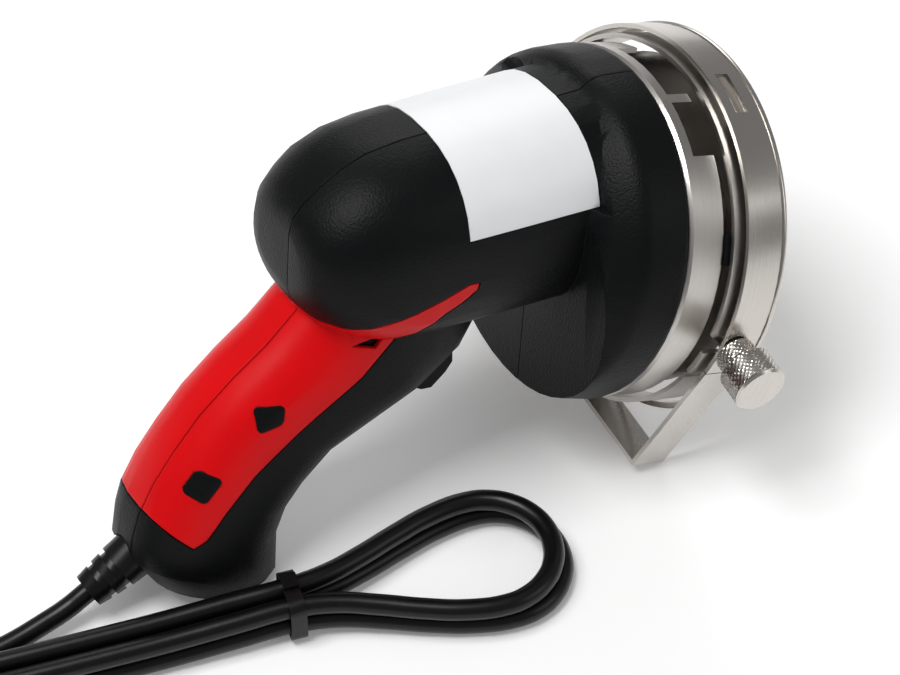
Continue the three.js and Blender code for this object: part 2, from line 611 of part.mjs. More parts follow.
cup = cup.subtract(ringOfPins(-40, 0, 1.7 + HOLE_GAP, CUP_PCD_R));
for (let i = 0; i < 4; i += 1) {
  const t = rad(i * 90);
  cup = cup.subtract(rod(-40, 0, 7, 14).translate([0, 30 * Math.sin(t), 30 * Math.cos(t)]));
}
head.add(toMesh(biggest(cup), 'blade_cup', steel, SLIVER));
const cupScrewHeads = pinsOnRing(RIM_FRONT + 0.6, RIM_FRONT + 2.4, 3.2, CUP_PCD_R);
const cupScrews = pinsOnRing(-26, RIM_FRONT + 0.8, 1.7, CUP_PCD_R).map((b, i) => b.add(cupScrewHeads[i]));
addEach(head, cupScrews, numbered('cup_screw', MOUNT_HOLES.length), darkSteel);

// Inner guard ring on three posts, with a notch for the clamp screw
let innerGuard = tubeRing(INNER_REAR, INNER_FRONT, INNER_R - INNER_SHEET, INNER_R, 72);
innerGuard = innerGuard.subtract(wedge(INNER_REAR - 1, SCREW_STATION + 3.2, SCREW_ANGLE - 3.4, SCREW_ANGLE + 3.4, 50, 60));
innerGuard = innerGuard.subtract(wedge(INNER_REAR - 1, SCREW_STATION + 1, SCREW_ANGLE + 13, SCREW_ANGLE + 15, 50, 60));
head.add(toMesh(innerGuard, 'inner_guard', steel));
const POST_ANGLES = [70, 190, 310];
const posts = POST_ANGLES.map((d) => {
  const outline = [[-14.5, 49.6], [CUP_FRONT + GAP, 49.6], [CUP_FRONT + GAP, 50.7], [6, 50.7], [6, INNER_R - INNER_SHEET - GAP],
    [CUP_FRONT + GAP, INNER_R - INNER_SHEET - GAP], [CUP_FRONT + GAP, CUP_R - CUP_SHEET - GAP], [-14.5, CUP_R - CUP_SHEET - GAP]];
  return plateXZ(outline, -4.5, 4.5).intersect(rod(-30, 30, INNER_R - INNER_SHEET - GAP, 96))
    .subtract(tubeRing(-30, CUP_FRONT + GAP, CUP_R - CUP_SHEET - GAP, 70, 96))
    .rotate([d, 0, 0]);
});
addEach(head, posts, numbered('guard_post', POST_ANGLES.length), black);

// Blade, its flange and nut
const bladeProfile = [[BLADE_STATION - 1, 4 + GAP], [BLADE_STATION + 1, 4 + GAP], [BLADE_STATION + 1, 30], [BLADE_STATION + 0.9, 46], [BLADE_STATION - 0.1, BLADE_R],
  [BLADE_STATION - 0.4, BLADE_R], [BLADE_STATION - 1, 46], [BLADE_STATION - 1, 4 + GAP]];
let blade = turned(bladeProfile, 60);
for (let i = 0; i < 3; i += 1) {
  blade = blade.subtract(rod(0, 20, 3, 20).translate([0, 20 * Math.sin(rad(i * 120)), 20 * Math.cos(rad(i * 120))]));
}
head.add(toMesh(blade, 'blade', steel));
head.add(toMesh(tubeRing(BLADE_STATION - 3.2, BLADE_STATION - 1 - GAP, 4 + GAP, 13, 24), 'blade_flange', steel));
const hexNut = new THREE.CylinderGeometry(8.4, 8.4, 4, 6);
hexNut.rotateZ(Math.PI / 2);
hexNut.translate(BLADE_STATION + 1 + GAP + 2, 0, 0);
head.add(toMesh(solid(hexNut).subtract(rod(0, 30, 4 + GAP, 28)), 'blade_nut', steel));

// Gauge band: arc of sheet with a rolled front flange, ending where the V arms leave it
const armHalf = 90 - V_HALF_ANGLE;
const bandOpen = 2 * armHalf;
let band = turned([[0, BAND_R - BAND_SHEET], [0, BAND_R], [BAND_FRONT - 1, BAND_R], [BAND_FRONT, BAND_R - 1], [BAND_FRONT, BAND_FLANGE_R],
  [BAND_FRONT - BAND_SHEET, BAND_FLANGE_R], [BAND_FRONT - BAND_SHEET, BAND_R - BAND_SHEET], [0, BAND_R - BAND_SHEET]], 84);
band = band.subtract(wedge(-5, 20, 180 - armHalf, 180 + armHalf, 40, 80));
band = band.subtract(wedge(3.5, 8, STUD_ANGLE + GUARD_TURN - 7, STUD_ANGLE + GUARD_TURN + 7, 50, 70));
const screwInGuard = SCREW_ANGLE + GUARD_TURN;
function radial(body, degrees) {
  return body.rotate([0, -90, 0]).rotate([degrees, 0, 0]);
}
band = band.subtract(radial(rod(40, 80, 2.5 + GAP, 24), screwInGuard).translate([SCREW_STATION, 0, 0]));
guard.add(toMesh(biggest(band), 'gauge_band', steel));

// V guard: two straight arms meeting at the apex
const apex = BAND_R / Math.sin(rad(V_HALF_ANGLE));
const tangent = [BAND_R * Math.sin(rad(armHalf)), -BAND_R * Math.cos(rad(armHalf))];
const along = [Math.sin(rad(V_HALF_ANGLE)), Math.cos(rad(V_HALF_ANGLE))];
const vApexIn = apex - V_SHEET / Math.sin(rad(V_HALF_ANGLE));
const start = GAP;
const pT = [tangent[0] - along[0] * start, tangent[1] - along[1] * start];
const inward = [-Math.cos(rad(V_HALF_ANGLE)), Math.sin(rad(V_HALF_ANGLE))];
const pTi = [pT[0] + inward[0] * V_SHEET, pT[1] + inward[1] * V_SHEET];
const vOutline = [[0, -apex], pT, pTi, [0, -vApexIn], [-pTi[0], pTi[1]], [-pT[0], pT[1]]];
guard.add(toMesh(plateYZ(vOutline, V_REAR, V_FRONT), 'v_guard', steel));

// Clamp screw with knurled head, lock nut and inner nut
function knurled(n0, n1, r, count) {
  let body = turned([[n0, 0], [n0, r - 0.7], [n0 + 0.7, r], [n1 - 0.7, r], [n1, r - 0.7], [n1, 0]], count);
  for (let i = 0; i < count; i += 1) {
    body = body.subtract(box(n0 - 1, n1 + 1, -0.35, 0.35, r - 0.45, r + 2).rotate([i * 360 / count, 0, 0]));
  }
  return body;
}
const clampScrew = knurled(BAND_R + 6.4, BAND_R + 16.6, 8.2, 20).add(rod(51.4, BAND_R + 7, 2.5, 24))
  .subtract(rod(BAND_R + 15.6, BAND_R + 20, 5.2, 28));
guard.add(toMesh(radial(clampScrew, screwInGuard).translate([SCREW_STATION, 0, 0]), 'thumb_screw', steel));
const lockNut = knurled(BAND_R + GAP, BAND_R + 6, 5.2, 16).subtract(rod(40, 90, 2.5 + 0.05, 24));
guard.add(toMesh(radial(lockNut, screwInGuard).translate([SCREW_STATION, 0, 0]), 'lock_nut', steel));

// Strain relief boot at the butt
const boot = onGland(turned([[-8, 0], [-8, 7.6], [-5.6, 7.6], [-5.6, 5.6], [-1, 5.6], [-1, 7.4], [6, 7], [6, 5.8], [8, 5.8], [8, 6.6], [11, 6.3], [11, 5.4], [13, 5.4], [13, 6],
  [BOOT_END, 5.4], [BOOT_END, 0]], 16)).subtract(onGland(rod(-30, 60, CORD_R + GAP, 16)));
tool.add(toMesh(boot, 'strain_relief', rubber));

const cord = new THREE.Group();
cord.name = 'cord';
// Floor positions of the cord are counted from the point under the head's centre
const HANK_TIE = [-138.5, -44.5];
const HANK_TURN = -12.2;
const HANK_LOOP_R = 20;
const HANK_RIGHT = 62;
const HANK_LEFT = 192;
const HANK_NECK = 95;
const STRAND = 3.7;
const LAYER = 7.1;
const FLOOR_LIFT = 0.1;
const TIE_LIFT = 1.7;
const LEAD_OFFSET = 11.6;

function onHank(s, l, z) {
  const c = Math.cos(rad(HANK_TURN));
  const n = Math.sin(rad(HANK_TURN));
  return new THREE.Vector3(HANK_TIE[0] + s * c - l * n, HANK_TIE[1] + s * n + l * c, z);
}

// Height of a strand: a little higher where it passes through the tie
function strandZ(s, layer) {
  return CORD_R + FLOOR_LIFT + LAYER * layer + TIE_LIFT * Math.exp(-((s / 26) ** 2));
}

// Tube through a list of points: rings of one radius, closed at both ends
function tubeThrough(points, r, sides) {
  const n = points.length;
  const loops = points.map((p, i) => {
    const a = points[Math.max(i - 1, 0)];
    const b = points[Math.min(i + 1, n - 1)];
    const t = b.clone().sub(a).normalize();
    const side = new THREE.Vector3(0, 0, 1).cross(t).normalize();
    const up = t.clone().cross(side);
    const ring = [];
    for (let j = 0; j < sides; j += 1) {
      const c = 2 * Math.PI * (j + 0.5) / sides;
      const q = p.clone().addScaledVector(side, r * Math.cos(c)).addScaledVector(up, r * Math.sin(c));
      ring.push([q.x, q.y, q.z]);
    }
    return ring;
  });
  return loft(loops);
}

// Hank: two lays of cord in loops at both ends, drawn in to a neck under the tie
const OUTER_LOOP_R = HANK_LOOP_R + 7.6;
function arc(centre, r, from, to, layer, steps) {
  const out = [];
  for (let i = 0; i <= steps; i += 1) {
    const t = rad(from + (to - from) * i / steps);
    const s = centre + r * Math.cos(t);
    out.push(onHank(s, r * Math.sin(t), strandZ(s, layer)));
  }
  return out;
}
// Straight stretch with an eased climb, its end points left out
function run(s0, l0, s1, l1, layer0, layer1, steps) {
  const out = [];
  for (let i = 1; i < steps; i += 1) {
    const t = i / steps;
    const ease = t * t * (3 - 2 * t);
    const climb = Math.sqrt(1 - (1 - ease) ** 2);
    const s = s0 + (s1 - s0) * t;
    out.push(onHank(s, l0 + (l1 - l0) * ease, strandZ(s, layer0 + (layer1 - layer0) * climb)));
  }
  return out;
}
const HANK_START = -128;
// Outer side of the left loop, where the lead comes in
function outerLine(at) {
  const t = (-at - HANK_NECK) / (HANK_LEFT - HANK_NECK);
  return LEAD_OFFSET + (OUTER_LOOP_R - LEAD_OFFSET) * t * t * (3 - 2 * t);
}
const LEAD_IN_STEPS = 5;
const leadIn = [];
for (let i = 0; i < LEAD_IN_STEPS; i += 1) {
  const at = HANK_START - GAP + (-HANK_LEFT - HANK_START + GAP) * i / LEAD_IN_STEPS;
  leadIn.push(onHank(at, outerLine(at), strandZ(at, 0)));
}
const PLUG_S = -246;
const PLUG_THICK = 13.7;
const PLUG_Z = PLUG_THICK / 2 + 0.2;
const hank = [
  ...leadIn,
  ...arc(-HANK_LEFT, OUTER_LOOP_R, 90, 270, 0, 9),
  ...run(-HANK_LEFT, -OUTER_LOOP_R, -HANK_NECK, -STRAND, 0, 0, 6),
  onHank(-HANK_NECK, -STRAND, strandZ(-HANK_NECK, 0)),
  ...run(-HANK_NECK, -STRAND, 0, -STRAND, 0, 0, 5),
  onHank(0, -STRAND, strandZ(0, 0)),
  ...run(0, -STRAND, HANK_RIGHT, -HANK_LOOP_R, 0, 0, 5),
  ...arc(HANK_RIGHT, HANK_LOOP_R, -90, 90, 0, 9),
  ...run(HANK_RIGHT, HANK_LOOP_R, 0, STRAND, 0, 0, 5),
  onHank(0, STRAND, strandZ(0, 0)),
  ...run(0, STRAND, -HANK_NECK, STRAND, 0, 0, 5),
  onHank(-HANK_NECK, STRAND, strandZ(-HANK_NECK, 0)),
  ...run(-HANK_NECK, STRAND, -HANK_LEFT, HANK_LOOP_R, 0, 0, 6),
  ...arc(-HANK_LEFT, HANK_LOOP_R, 90, 270, 0, 9),
  ...run(-HANK_LEFT, -HANK_LOOP_R, -HANK_NECK, -STRAND, 0, 1, 6),
  onHank(-HANK_NECK, -STRAND, strandZ(-HANK_NECK, 1)),
  ...run(-HANK_NECK, -STRAND, 0, -STRAND, 1, 1, 5),
  onHank(0, -STRAND, strandZ(0, 1)),
  ...run(0, -STRAND, HANK_RIGHT - 3, -HANK_LOOP_R, 1, 1, 5),
  ...arc(HANK_RIGHT - 3, HANK_LOOP_R, -90, 90, 1, 9),
  ...run(HANK_RIGHT - 3, HANK_LOOP_R, 0, STRAND, 1, 1, 5),
  onHank(0, STRAND, strandZ(0, 1)),
  ...run(0, STRAND, -HANK_NECK, STRAND, 1, 1, 5),
  onHank(-HANK_NECK, STRAND, strandZ(-HANK_NECK, 1)),
  ...run(-HANK_NECK, STRAND, -170, 0, 1, 1.02, 4),
  onHank(-170, 0, CORD_R + FLOOR_LIFT + LAYER * 1.02),
  onHank(-200, 0, CORD_R + FLOOR_LIFT + LAYER * 1.06),
  onHank(-222, 0, CORD_R + FLOOR_LIFT + LAYER * 1.04),
  onHank(-232, 0, PLUG_Z + 1.4),
  onHank(PLUG_S + 2 * CORD_R, 0, PLUG_Z),
  onHank(PLUG_S + GAP, 0, PLUG_Z),
];
const HANK_SIDES = 6;
cord.add(toMesh(tubeThrough(hank, CORD_R, HANK_SIDES), 'cord_hank', rubber));

// Least gap between stretches of the hank that are not neighbours
let leastGap = Infinity;
const dense = [];
for (let i = 0; i + 1 < hank.length; i += 1) {
  for (let k = 0; k < 4; k += 1) dense.push(hank[i].clone().lerp(hank[i + 1], k / 4));
}
const reach = [0];
for (let i = 1; i < dense.length; i += 1) reach.push(reach[i - 1] + dense[i].distanceTo(dense[i - 1]));
for (let i = 0; i < dense.length; i += 1) {
  for (let j = i + 1; j < dense.length; j += 1) {
    if (reach[j] - reach[i] > 40) leastGap = Math.min(leastGap, dense[i].distanceTo(dense[j]) - 2 * CORD_R);
  }
}

// Lead: out of the boot, down to the floor and away to the left beside the hank
const exitDir = new THREE.Vector3(-Math.cos(rad(GLAND_DIP)), 0, -Math.sin(rad(GLAND_DIP))).applyQuaternion(restQuat);
const exitAt = new THREE.Vector3(...GLAND_AT)
  .addScaledVector(new THREE.Vector3(-Math.cos(rad(GLAND_DIP)), 0, -Math.sin(rad(GLAND_DIP))), BOOT_END)
  .applyQuaternion(restQuat).add(new THREE.Vector3(0, 0, FLOOR_DROP));
const LEAD_ROUTE = [
  [-72, 16.6, 5.4], [-78, 14.9, 4.5], [-84, 13.5, 3.9], [-90, 12.5, 3.5], [-96, 11.9, CORD_R + FLOOR_LIFT],
  [-102, 11.8, CORD_R + FLOOR_LIFT],
];
const leadPoints = [
  exitAt.clone().addScaledVector(exitDir, GAP),
  exitAt.clone().addScaledVector(exitDir, CORD_R),
  exitAt.clone().addScaledVector(exitDir, 2.2 * CORD_R),
  ...LEAD_ROUTE.map(([at, l, z]) => onHank(at, l, z)),
  ...[-110, -117, -122.5, HANK_START].map((at) => onHank(at, outerLine(at), strandZ(at, 0))),
];
const LEAD_SIDES = 10;
const LEAD_STEPS = 20;
const leadRing = new THREE.Shape();
for (let j = 0; j < LEAD_SIDES; j += 1) {
  const c = 2 * Math.PI * j / LEAD_SIDES;
  leadRing[j === 0 ? 'moveTo' : 'lineTo'](CORD_R * Math.cos(c), CORD_R * Math.sin(c));
}
const leadCurve = new THREE.CatmullRomCurve3(leadPoints, false, 'centripetal');
const leadTube = new THREE.ExtrudeGeometry(leadRing, { steps: LEAD_STEPS, extrudePath: leadCurve, bevelEnabled: false });
cord.add(toMesh(solid(leadTube), 'cord_lead', rubber));

// Stands a body made about the hank's own axes on the floor at a station
function placeOnHank(body, at, l, z) {
  const p = onHank(at, l, z);
  return body.rotate([0, 0, HANK_TURN]).translate([p.x, p.y, p.z]);
}

// Tie: a flat strap round the four strands
const TIE_WIDTH = 4.8;
const TIE_SHEET = 1.1;
const tieHalf = STRAND + CORD_R + GAP;
const tieLow = strandZ(0, 0) - CORD_R - GAP;
const tieHigh = strandZ(0, 1) + CORD_R + GAP;
function strapOutline(grow) {
  const r = CORD_R * 0.8 + grow;
  const w = tieHalf + grow;
  const lo = tieLow - grow;
  const hi = tieHigh + grow;
  const out = [];
  [[w - r, hi - r, 0], [-w + r, hi - r, 90], [-w + r, lo + r, 180], [w - r, lo + r, 270]].forEach(([y, z, a]) => {
    for (let i = 0; i <= 4; i += 1) out.push([y + r * Math.cos(rad(a + i * 22.5)), z + r * Math.sin(rad(a + i * 22.5))]);
  });
  return out;
}
const strap = plateYZ(strapOutline(TIE_SHEET), -TIE_WIDTH / 2, TIE_WIDTH / 2)
  .subtract(plateYZ(strapOutline(0), -TIE_WIDTH, TIE_WIDTH))
  .add(plateYZ([[tieHalf - 3, tieHigh + TIE_SHEET - 0.2], [tieHalf - 3, tieHigh + 2.6], [tieHalf - 8, tieHigh + 2.6], [tieHalf - 8, tieHigh + TIE_SHEET - 0.2]], -TIE_WIDTH / 2, TIE_WIDTH / 2));
cord.add(toMesh(placeOnHank(strap, 0, 0, 0), 'cord_tie', rubber));

// Flat two-pin plug
const PLUG_LENGTH = 36;
const PLUG_FRONT_HALF = 17.6;
const PIN_SPACING = 18.6;
const PIN_R = 2;
const PIN_LENGTH = 19;
const PIN_SEAT = 4;
const plugOutline = [
  [0, 5], [-9, 5.6], [-15, 8], [-21, 13.4], [-26, 16.6], [-31, PLUG_FRONT_HALF], [-PLUG_LENGTH, PLUG_FRONT_HALF],
];
const plugShape = new THREE.Shape([...plugOutline, ...plugOutline.slice().reverse().map(([x, y]) => [x, -y])]
  .map(([x, y]) => new THREE.Vector2(x, y)));
const plugBevel = 2.4;
const plugGeometry = new THREE.ExtrudeGeometry(plugShape, {
  depth: PLUG_THICK - 2 * plugBevel, bevelEnabled: true, bevelSize: plugBevel, bevelOffset: -plugBevel, bevelThickness: plugBevel, bevelSegments: 2,
});
plugGeometry.translate(0, 0, -PLUG_THICK / 2 + plugBevel);
const pinSeats = [-1, 1].map((k) => rod(-PLUG_LENGTH - 1, -PLUG_LENGTH + PIN_SEAT, PIN_R + GAP, 16).translate([0, k * PIN_SPACING / 2, 0]));
const plug = solid(plugGeometry).subtract(pinSeats[0]).subtract(pinSeats[1]);
cord.add(toMesh(placeOnHank(plug, PLUG_S, 0, PLUG_Z), 'plug_body', rubber));
const plugPins = [-1, 1].map((k) => turned([[-PLUG_LENGTH + PIN_SEAT - GAP, 0], [-PLUG_LENGTH + PIN_SEAT - GAP, PIN_R], [-PLUG_LENGTH - PIN_LENGTH + 1, PIN_R],
  [-PLUG_LENGTH - PIN_LENGTH, PIN_R - 1], [-PLUG_LENGTH - PIN_LENGTH, 0]], 16).translate([0, k * PIN_SPACING / 2, 0]));
addEach(cord, plugPins.map((b2) => placeOnHank(b2, PLUG_S, 0, PLUG_Z)), numbered('plug_pin', 2), steel);

const root = new THREE.Group();
root.name = 'kebab_slicer';
tool.rotation.copy(restEuler);
tool.position.set(0, 0, FLOOR_DROP);
root.add(tool);
root.add(cord);
root.updateMatrixWorld(true);
// Origin at the middle of the tool's box, on the floor
const toolBox = new THREE.Box3().setFromObject(tool, true);
const toolMid = toolBox.getCenter(new THREE.Vector3());
[tool, cord].forEach((g) => g.position.add(new THREE.Vector3(-toolMid.x, -toolMid.y, -toolBox.min.z)));
root.updateMatrixWorld(true);

export default root;
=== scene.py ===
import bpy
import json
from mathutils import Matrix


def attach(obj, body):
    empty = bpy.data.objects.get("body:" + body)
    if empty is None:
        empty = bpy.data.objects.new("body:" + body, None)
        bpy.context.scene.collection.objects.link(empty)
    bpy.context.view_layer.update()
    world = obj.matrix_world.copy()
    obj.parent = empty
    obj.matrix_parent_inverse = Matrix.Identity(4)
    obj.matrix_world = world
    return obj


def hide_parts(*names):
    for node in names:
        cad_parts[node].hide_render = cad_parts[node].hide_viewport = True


bl_info = {
    "name": "Kebab slicer looks",
    "version": (1, 0, 0),
    "blender": (4, 5, 0),
    "location": "View3D > Sidebar > Slicer",
    "description": "Dresses the kebab slicer: shell, red grips, steel cutting head, mains cord and studio",
    "category": "Object",
}

import json
import math

import bpy
import numpy
from mathutils import Matrix, Vector
from mathutils.bvhtree import BVHTree

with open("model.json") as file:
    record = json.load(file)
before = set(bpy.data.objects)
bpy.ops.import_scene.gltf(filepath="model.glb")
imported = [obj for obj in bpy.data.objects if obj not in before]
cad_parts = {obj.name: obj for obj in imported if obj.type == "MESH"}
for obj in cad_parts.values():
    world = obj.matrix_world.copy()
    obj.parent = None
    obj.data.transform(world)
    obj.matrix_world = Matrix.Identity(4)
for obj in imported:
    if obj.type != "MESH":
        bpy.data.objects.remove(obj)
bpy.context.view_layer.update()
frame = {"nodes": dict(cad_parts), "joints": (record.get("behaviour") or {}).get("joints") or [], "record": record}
MM = 0.001
NODES = frame["nodes"]
BODY_OF = {n: body for body, nodes in frame["record"]["behaviour"]["bodies"].items() for n in nodes}
SLOT_OF = {row["node"]: row["material_slot"] for row in frame["record"]["subparts"]}


def joint(name):
    """The point and the axis of one of the record's joints, in the row frame."""
    row = next(j for j in frame["joints"] if j["name"] == name)
    return Vector(row["pos_m"]), Vector(row["axis"]).normalized()


# The head's axis, the tool's own axes and the clamp screw's axis
HEAD_CENTRE, HEAD_AXIS = joint("blade_spin")
TOOL_X = joint("rotor_spin")[1]
TOOL_Y = joint("trigger_press")[1]
TOOL_Z = TOOL_X.cross(TOOL_Y).normalized()
SCREW_POINT, SCREW_AXIS = joint("thumb_screw_turn")
# Cord and camera are counted in millimetres from the floor under the head's centre
UNDER_HEAD = Vector((HEAD_CENTRE.x, HEAD_CENTRE.y, 0.0))

# Half the cord's thickness, in millimetres
CORD_R = 3.2

# Steepest angle in degrees between faces that shade as one, by kind of piece
SHELL_ANGLE = 38
GRIP_ANGLE = 40
SMALL_ANGLE = 34
METAL_ANGLE = 30
BLADE_ANGLE = 24
TIE_ANGLE = 50
LATHE_ANGLE = 32
PAD_ANGLE = 50
# Edges sharper than this are rounded, in degrees
ROUND_FROM = 40
# Refraction of ABS
ABS_IOR = 1.54
# Vertices closer than this become one, in metres
SKIN_WELD = 0.00001
LATHE_WELD = 0.000005


def linear(code):
    """A colour written as sRGB hex, as linear red, green, blue and alpha."""
    out = []
    for i in (1, 3, 5):
        c = int(code[i : i + 2], 16) / 255
        out.append(c / 12.92 if c <= 0.04045 else ((c + 0.055) / 1.055) ** 2.4)
    return (*out, 1.0)


def colour(name, words, code):
    """A colour property with its default."""
    return bpy.props.FloatVectorProperty(
        name=name, description=words, default=linear(code), subtype="COLOR", size=4, min=0.0, max=1.0
    )


def millimetres(name, words, value):
    """A length property, kept in metres."""
    return bpy.props.FloatProperty(
        name=name, description=words, default=value * MM, subtype="DISTANCE", unit="LENGTH", precision=5
    )


class SlicerColours(bpy.types.PropertyGroup):
    """Colours of the slicer's finishes"""

    shell: colour("Shell", "Black ABS of the two housing halves", "#0b0c0d")
    grip: colour("Grip", "Red ABS of the hand grips", "#e4060e")
    film: colour("Label film", "White polyester film of the bare label", "#f1f3f5")
    steel: colour("Brushed steel", "Stainless steel of cup and inner guard", "#cdc9c4")
    bright: colour("Polished steel", "Stainless steel of gauge band and screws", "#d3cec8")
    cord: colour("Cord", "Black PVC of cord and plug", "#0a0a0b")
    floor: colour("Floor", "Pale studio floor", "#fcfcfc")


class SlicerSizes(bpy.types.PropertyGroup):
    """Sizes of what is added to the slicer"""

    grain: millimetres("Shell grain", "Width of one grain of the shell, drawn coarse to show", 0.75)
    brush: millimetres("Brushing", "Distance between brush lines on steel", 0.5)
    cord_radius: millimetres("Cord radius", "Half the cord's thickness", CORD_R)


def add_node(tree, kind, settings=(), links=()):
    """Adds a shader node, sets its fields and sockets and joins its inputs."""
    made = tree.nodes.new(kind)
    for key, value in dict(settings).items():
        if isinstance(key, str) and hasattr(made, key):
            setattr(made, key, value)
        else:
            made.inputs[key].default_value = value
    for key, source in dict(links).items():
        tree.links.new(source, made.inputs[key])
    return made


def new_material(name):
    """A material with its shader's node tree and the shader."""
    made = bpy.data.materials.new(name)
    made.use_nodes = True
    return made, made.node_tree, made.node_tree.nodes["Principled BSDF"]


def noise(tree, scale, detail):
    """A noise pattern on the object's own coordinates."""
    place = add_node(tree, "ShaderNodeTexCoord")
    settings = {"Scale": scale, "Detail": detail}
    return add_node(tree, "ShaderNodeTexNoise", settings, {"Vector": place.outputs["Object"]}).outputs["Fac"]


def two_tones(tree, skin, tint, share, pattern):
    """Colours the shader between a tint and a share of it, by a pattern."""
    other = [c * share for c in tint[:3]] + [1.0]
    tone = add_node(tree, "ShaderNodeMixRGB", {"Color1": tint, "Color2": other}, {"Fac": pattern})
    tree.links.new(tone.outputs["Color"], skin.inputs["Base Color"])


def rough_between(tree, skin, low, high, pattern, top=1.0):
    """Spreads the shader's roughness between two values, by a pattern that goes from 0 to its top."""
    settings = {"From Max": top, "To Min": low, "To Max": high}
    spread = add_node(tree, "ShaderNodeMapRange", settings, {"Value": pattern})
    tree.links.new(spread.outputs["Result"], skin.inputs["Roughness"])


def raised(tree, skin, strength, distance, pattern, edge_radius=0.0):
    """Raises a pattern on the shader's normal, with edges softened by a radius in metres."""
    links = {"Height": pattern}
    if edge_radius:
        edge = add_node(tree, "ShaderNodeBevel", {"samples": 4, "Radius": edge_radius})
        links["Normal"] = edge.outputs["Normal"]
    relief = add_node(tree, "ShaderNodeBump", {"Strength": strength, "Distance": distance}, links)
    tree.links.new(relief.outputs["Normal"], skin.inputs["Normal"])


def shell_abs(name):
    """Moulded ABS from a spark-eroded tool: a fine even grain and a soft broad sheen."""
    made, tree, skin = new_material(name)
    fine = noise(tree, 1 / bpy.context.scene.slicer_sizes.grain, 2.0)
    broad = noise(tree, 18.0, 3.0)
    two_tones(tree, skin, bpy.context.scene.slicer_colours.shell, 1.35, fine)
    rough_between(tree, skin, 0.36, 0.46, broad)
    raised(tree, skin, 0.6, 0.00024, fine, edge_radius=0.0006)
    skin.inputs["IOR"].default_value = ABS_IOR
    skin.inputs["Specular IOR Level"].default_value = 0.1
    return made


def grip_abs(name):
    """Moulded ABS, half glossy: clear red with a soft highlight and faint moulding waviness."""
    made, tree, skin = new_material(name)
    flow = noise(tree, 60.0, 2.0)
    two_tones(tree, skin, bpy.context.scene.slicer_colours.grip, 0.86, flow)
    rough_between(tree, skin, 0.32, 0.42, flow)
    raised(tree, skin, 0.06, 0.0003, flow, edge_radius=0.0008)
    skin.inputs["IOR"].default_value = ABS_IOR
    skin.inputs["Specular IOR Level"].default_value = 0.14
    return made


def label_film(name):
    """White polyester film, laid on by hand: nearly flat, with a soft gloss."""
    made, tree, skin = new_material(name)
    ripple = noise(tree, 90.0, 1.0)
    two_tones(tree, skin, bpy.context.scene.slicer_colours.film, 0.95, ripple)
    raised(tree, skin, 0.05, 0.0002, ripple)
    skin.inputs["Roughness"].default_value = 0.38
    return made


def cord_pvc(name):
    """Extruded PVC sheath: satin black with a faint unevenness."""
    made, tree, skin = new_material(name)
    drag = noise(tree, 220.0, 2.0)
    two_tones(tree, skin, bpy.context.scene.slicer_colours.cord, 1.3, drag)
    rough_between(tree, skin, 0.26, 0.36, drag)
    raised(tree, skin, 0.08, 0.0002, drag)
    skin.inputs["Specular IOR Level"].default_value = 0.3
    return made


def turned_steel(name, tint, rough_low, rough_high, relief):
    """Steel brushed while it turns: lines round the head's axis, finer and coarser by turns."""
    made, tree, skin = new_material(name)
    place = add_node(tree, "ShaderNodeTexCoord")
    turn = (0.0, math.asin(-HEAD_AXIS.z), math.atan2(HEAD_AXIS.y, HEAD_AXIS.x))
    local = add_node(
        tree,
        "ShaderNodeMapping",
        {"vector_type": "TEXTURE", "Location": HEAD_CENTRE, "Rotation": turn},
        {"Vector": place.outputs["Object"]},
    )
    parts = add_node(tree, "ShaderNodeSeparateXYZ", {}, {"Vector": local.outputs["Vector"]})
    across = add_node(
        tree, "ShaderNodeCombineXYZ", {}, {"Y": parts.outputs["Y"], "Z": parts.outputs["Z"]}
    )
    radius = add_node(
        tree, "ShaderNodeVectorMath", {"operation": "LENGTH"}, {"Vector": across.outputs["Vector"]}
    )
    hoop = add_node(
        tree, "ShaderNodeCombineXYZ", {}, {"X": radius.outputs["Value"], "Y": parts.outputs["X"]}
    )
    lines = 1 / bpy.context.scene.slicer_sizes.brush
    brush = add_node(
        tree,
        "ShaderNodeTexNoise",
        {"noise_dimensions": "2D", "Scale": lines, "Detail": 4.0, "Roughness": 0.6},
        {"Vector": hoop.outputs["Vector"]},
    ).outputs["Fac"]
    smear = noise(tree, 40.0, 3.0)
    mixed = add_node(tree, "ShaderNodeMath", {"operation": "MULTIPLY"}, {0: brush, 1: smear})
    two_tones(tree, skin, tint, 0.82, brush)
    rough_between(tree, skin, rough_low, rough_high, mixed.outputs["Value"], top=0.5)
    raised(tree, skin, relief, 0.00005, brush)
    skin.inputs["Metallic"].default_value = 1.0
    return made


def brushed_steel(name):
    """Satin stainless steel with visible brush lines."""
    return turned_steel(name, bpy.context.scene.slicer_colours.steel, 0.24, 0.40, 0.35)


def polished_steel(name):
    """Bright stainless steel with faint brush lines."""
    return turned_steel(name, bpy.context.scene.slicer_colours.bright, 0.16, 0.30, 0.10)


def plain_finish(name, code, metallic, rough, scale):
    """Inner metal and plastic: one tone, broken up by a fine casting or plating texture."""
    made, tree, skin = new_material(name)
    grit = noise(tree, scale, 3.0)
    two_tones(tree, skin, linear(code), 0.8, grit)
    rough_between(tree, skin, rough - 0.07, rough + 0.07, grit)
    raised(tree, skin, 0.12, 0.0001, grit)
    skin.inputs["Metallic"].default_value = metallic
    return made


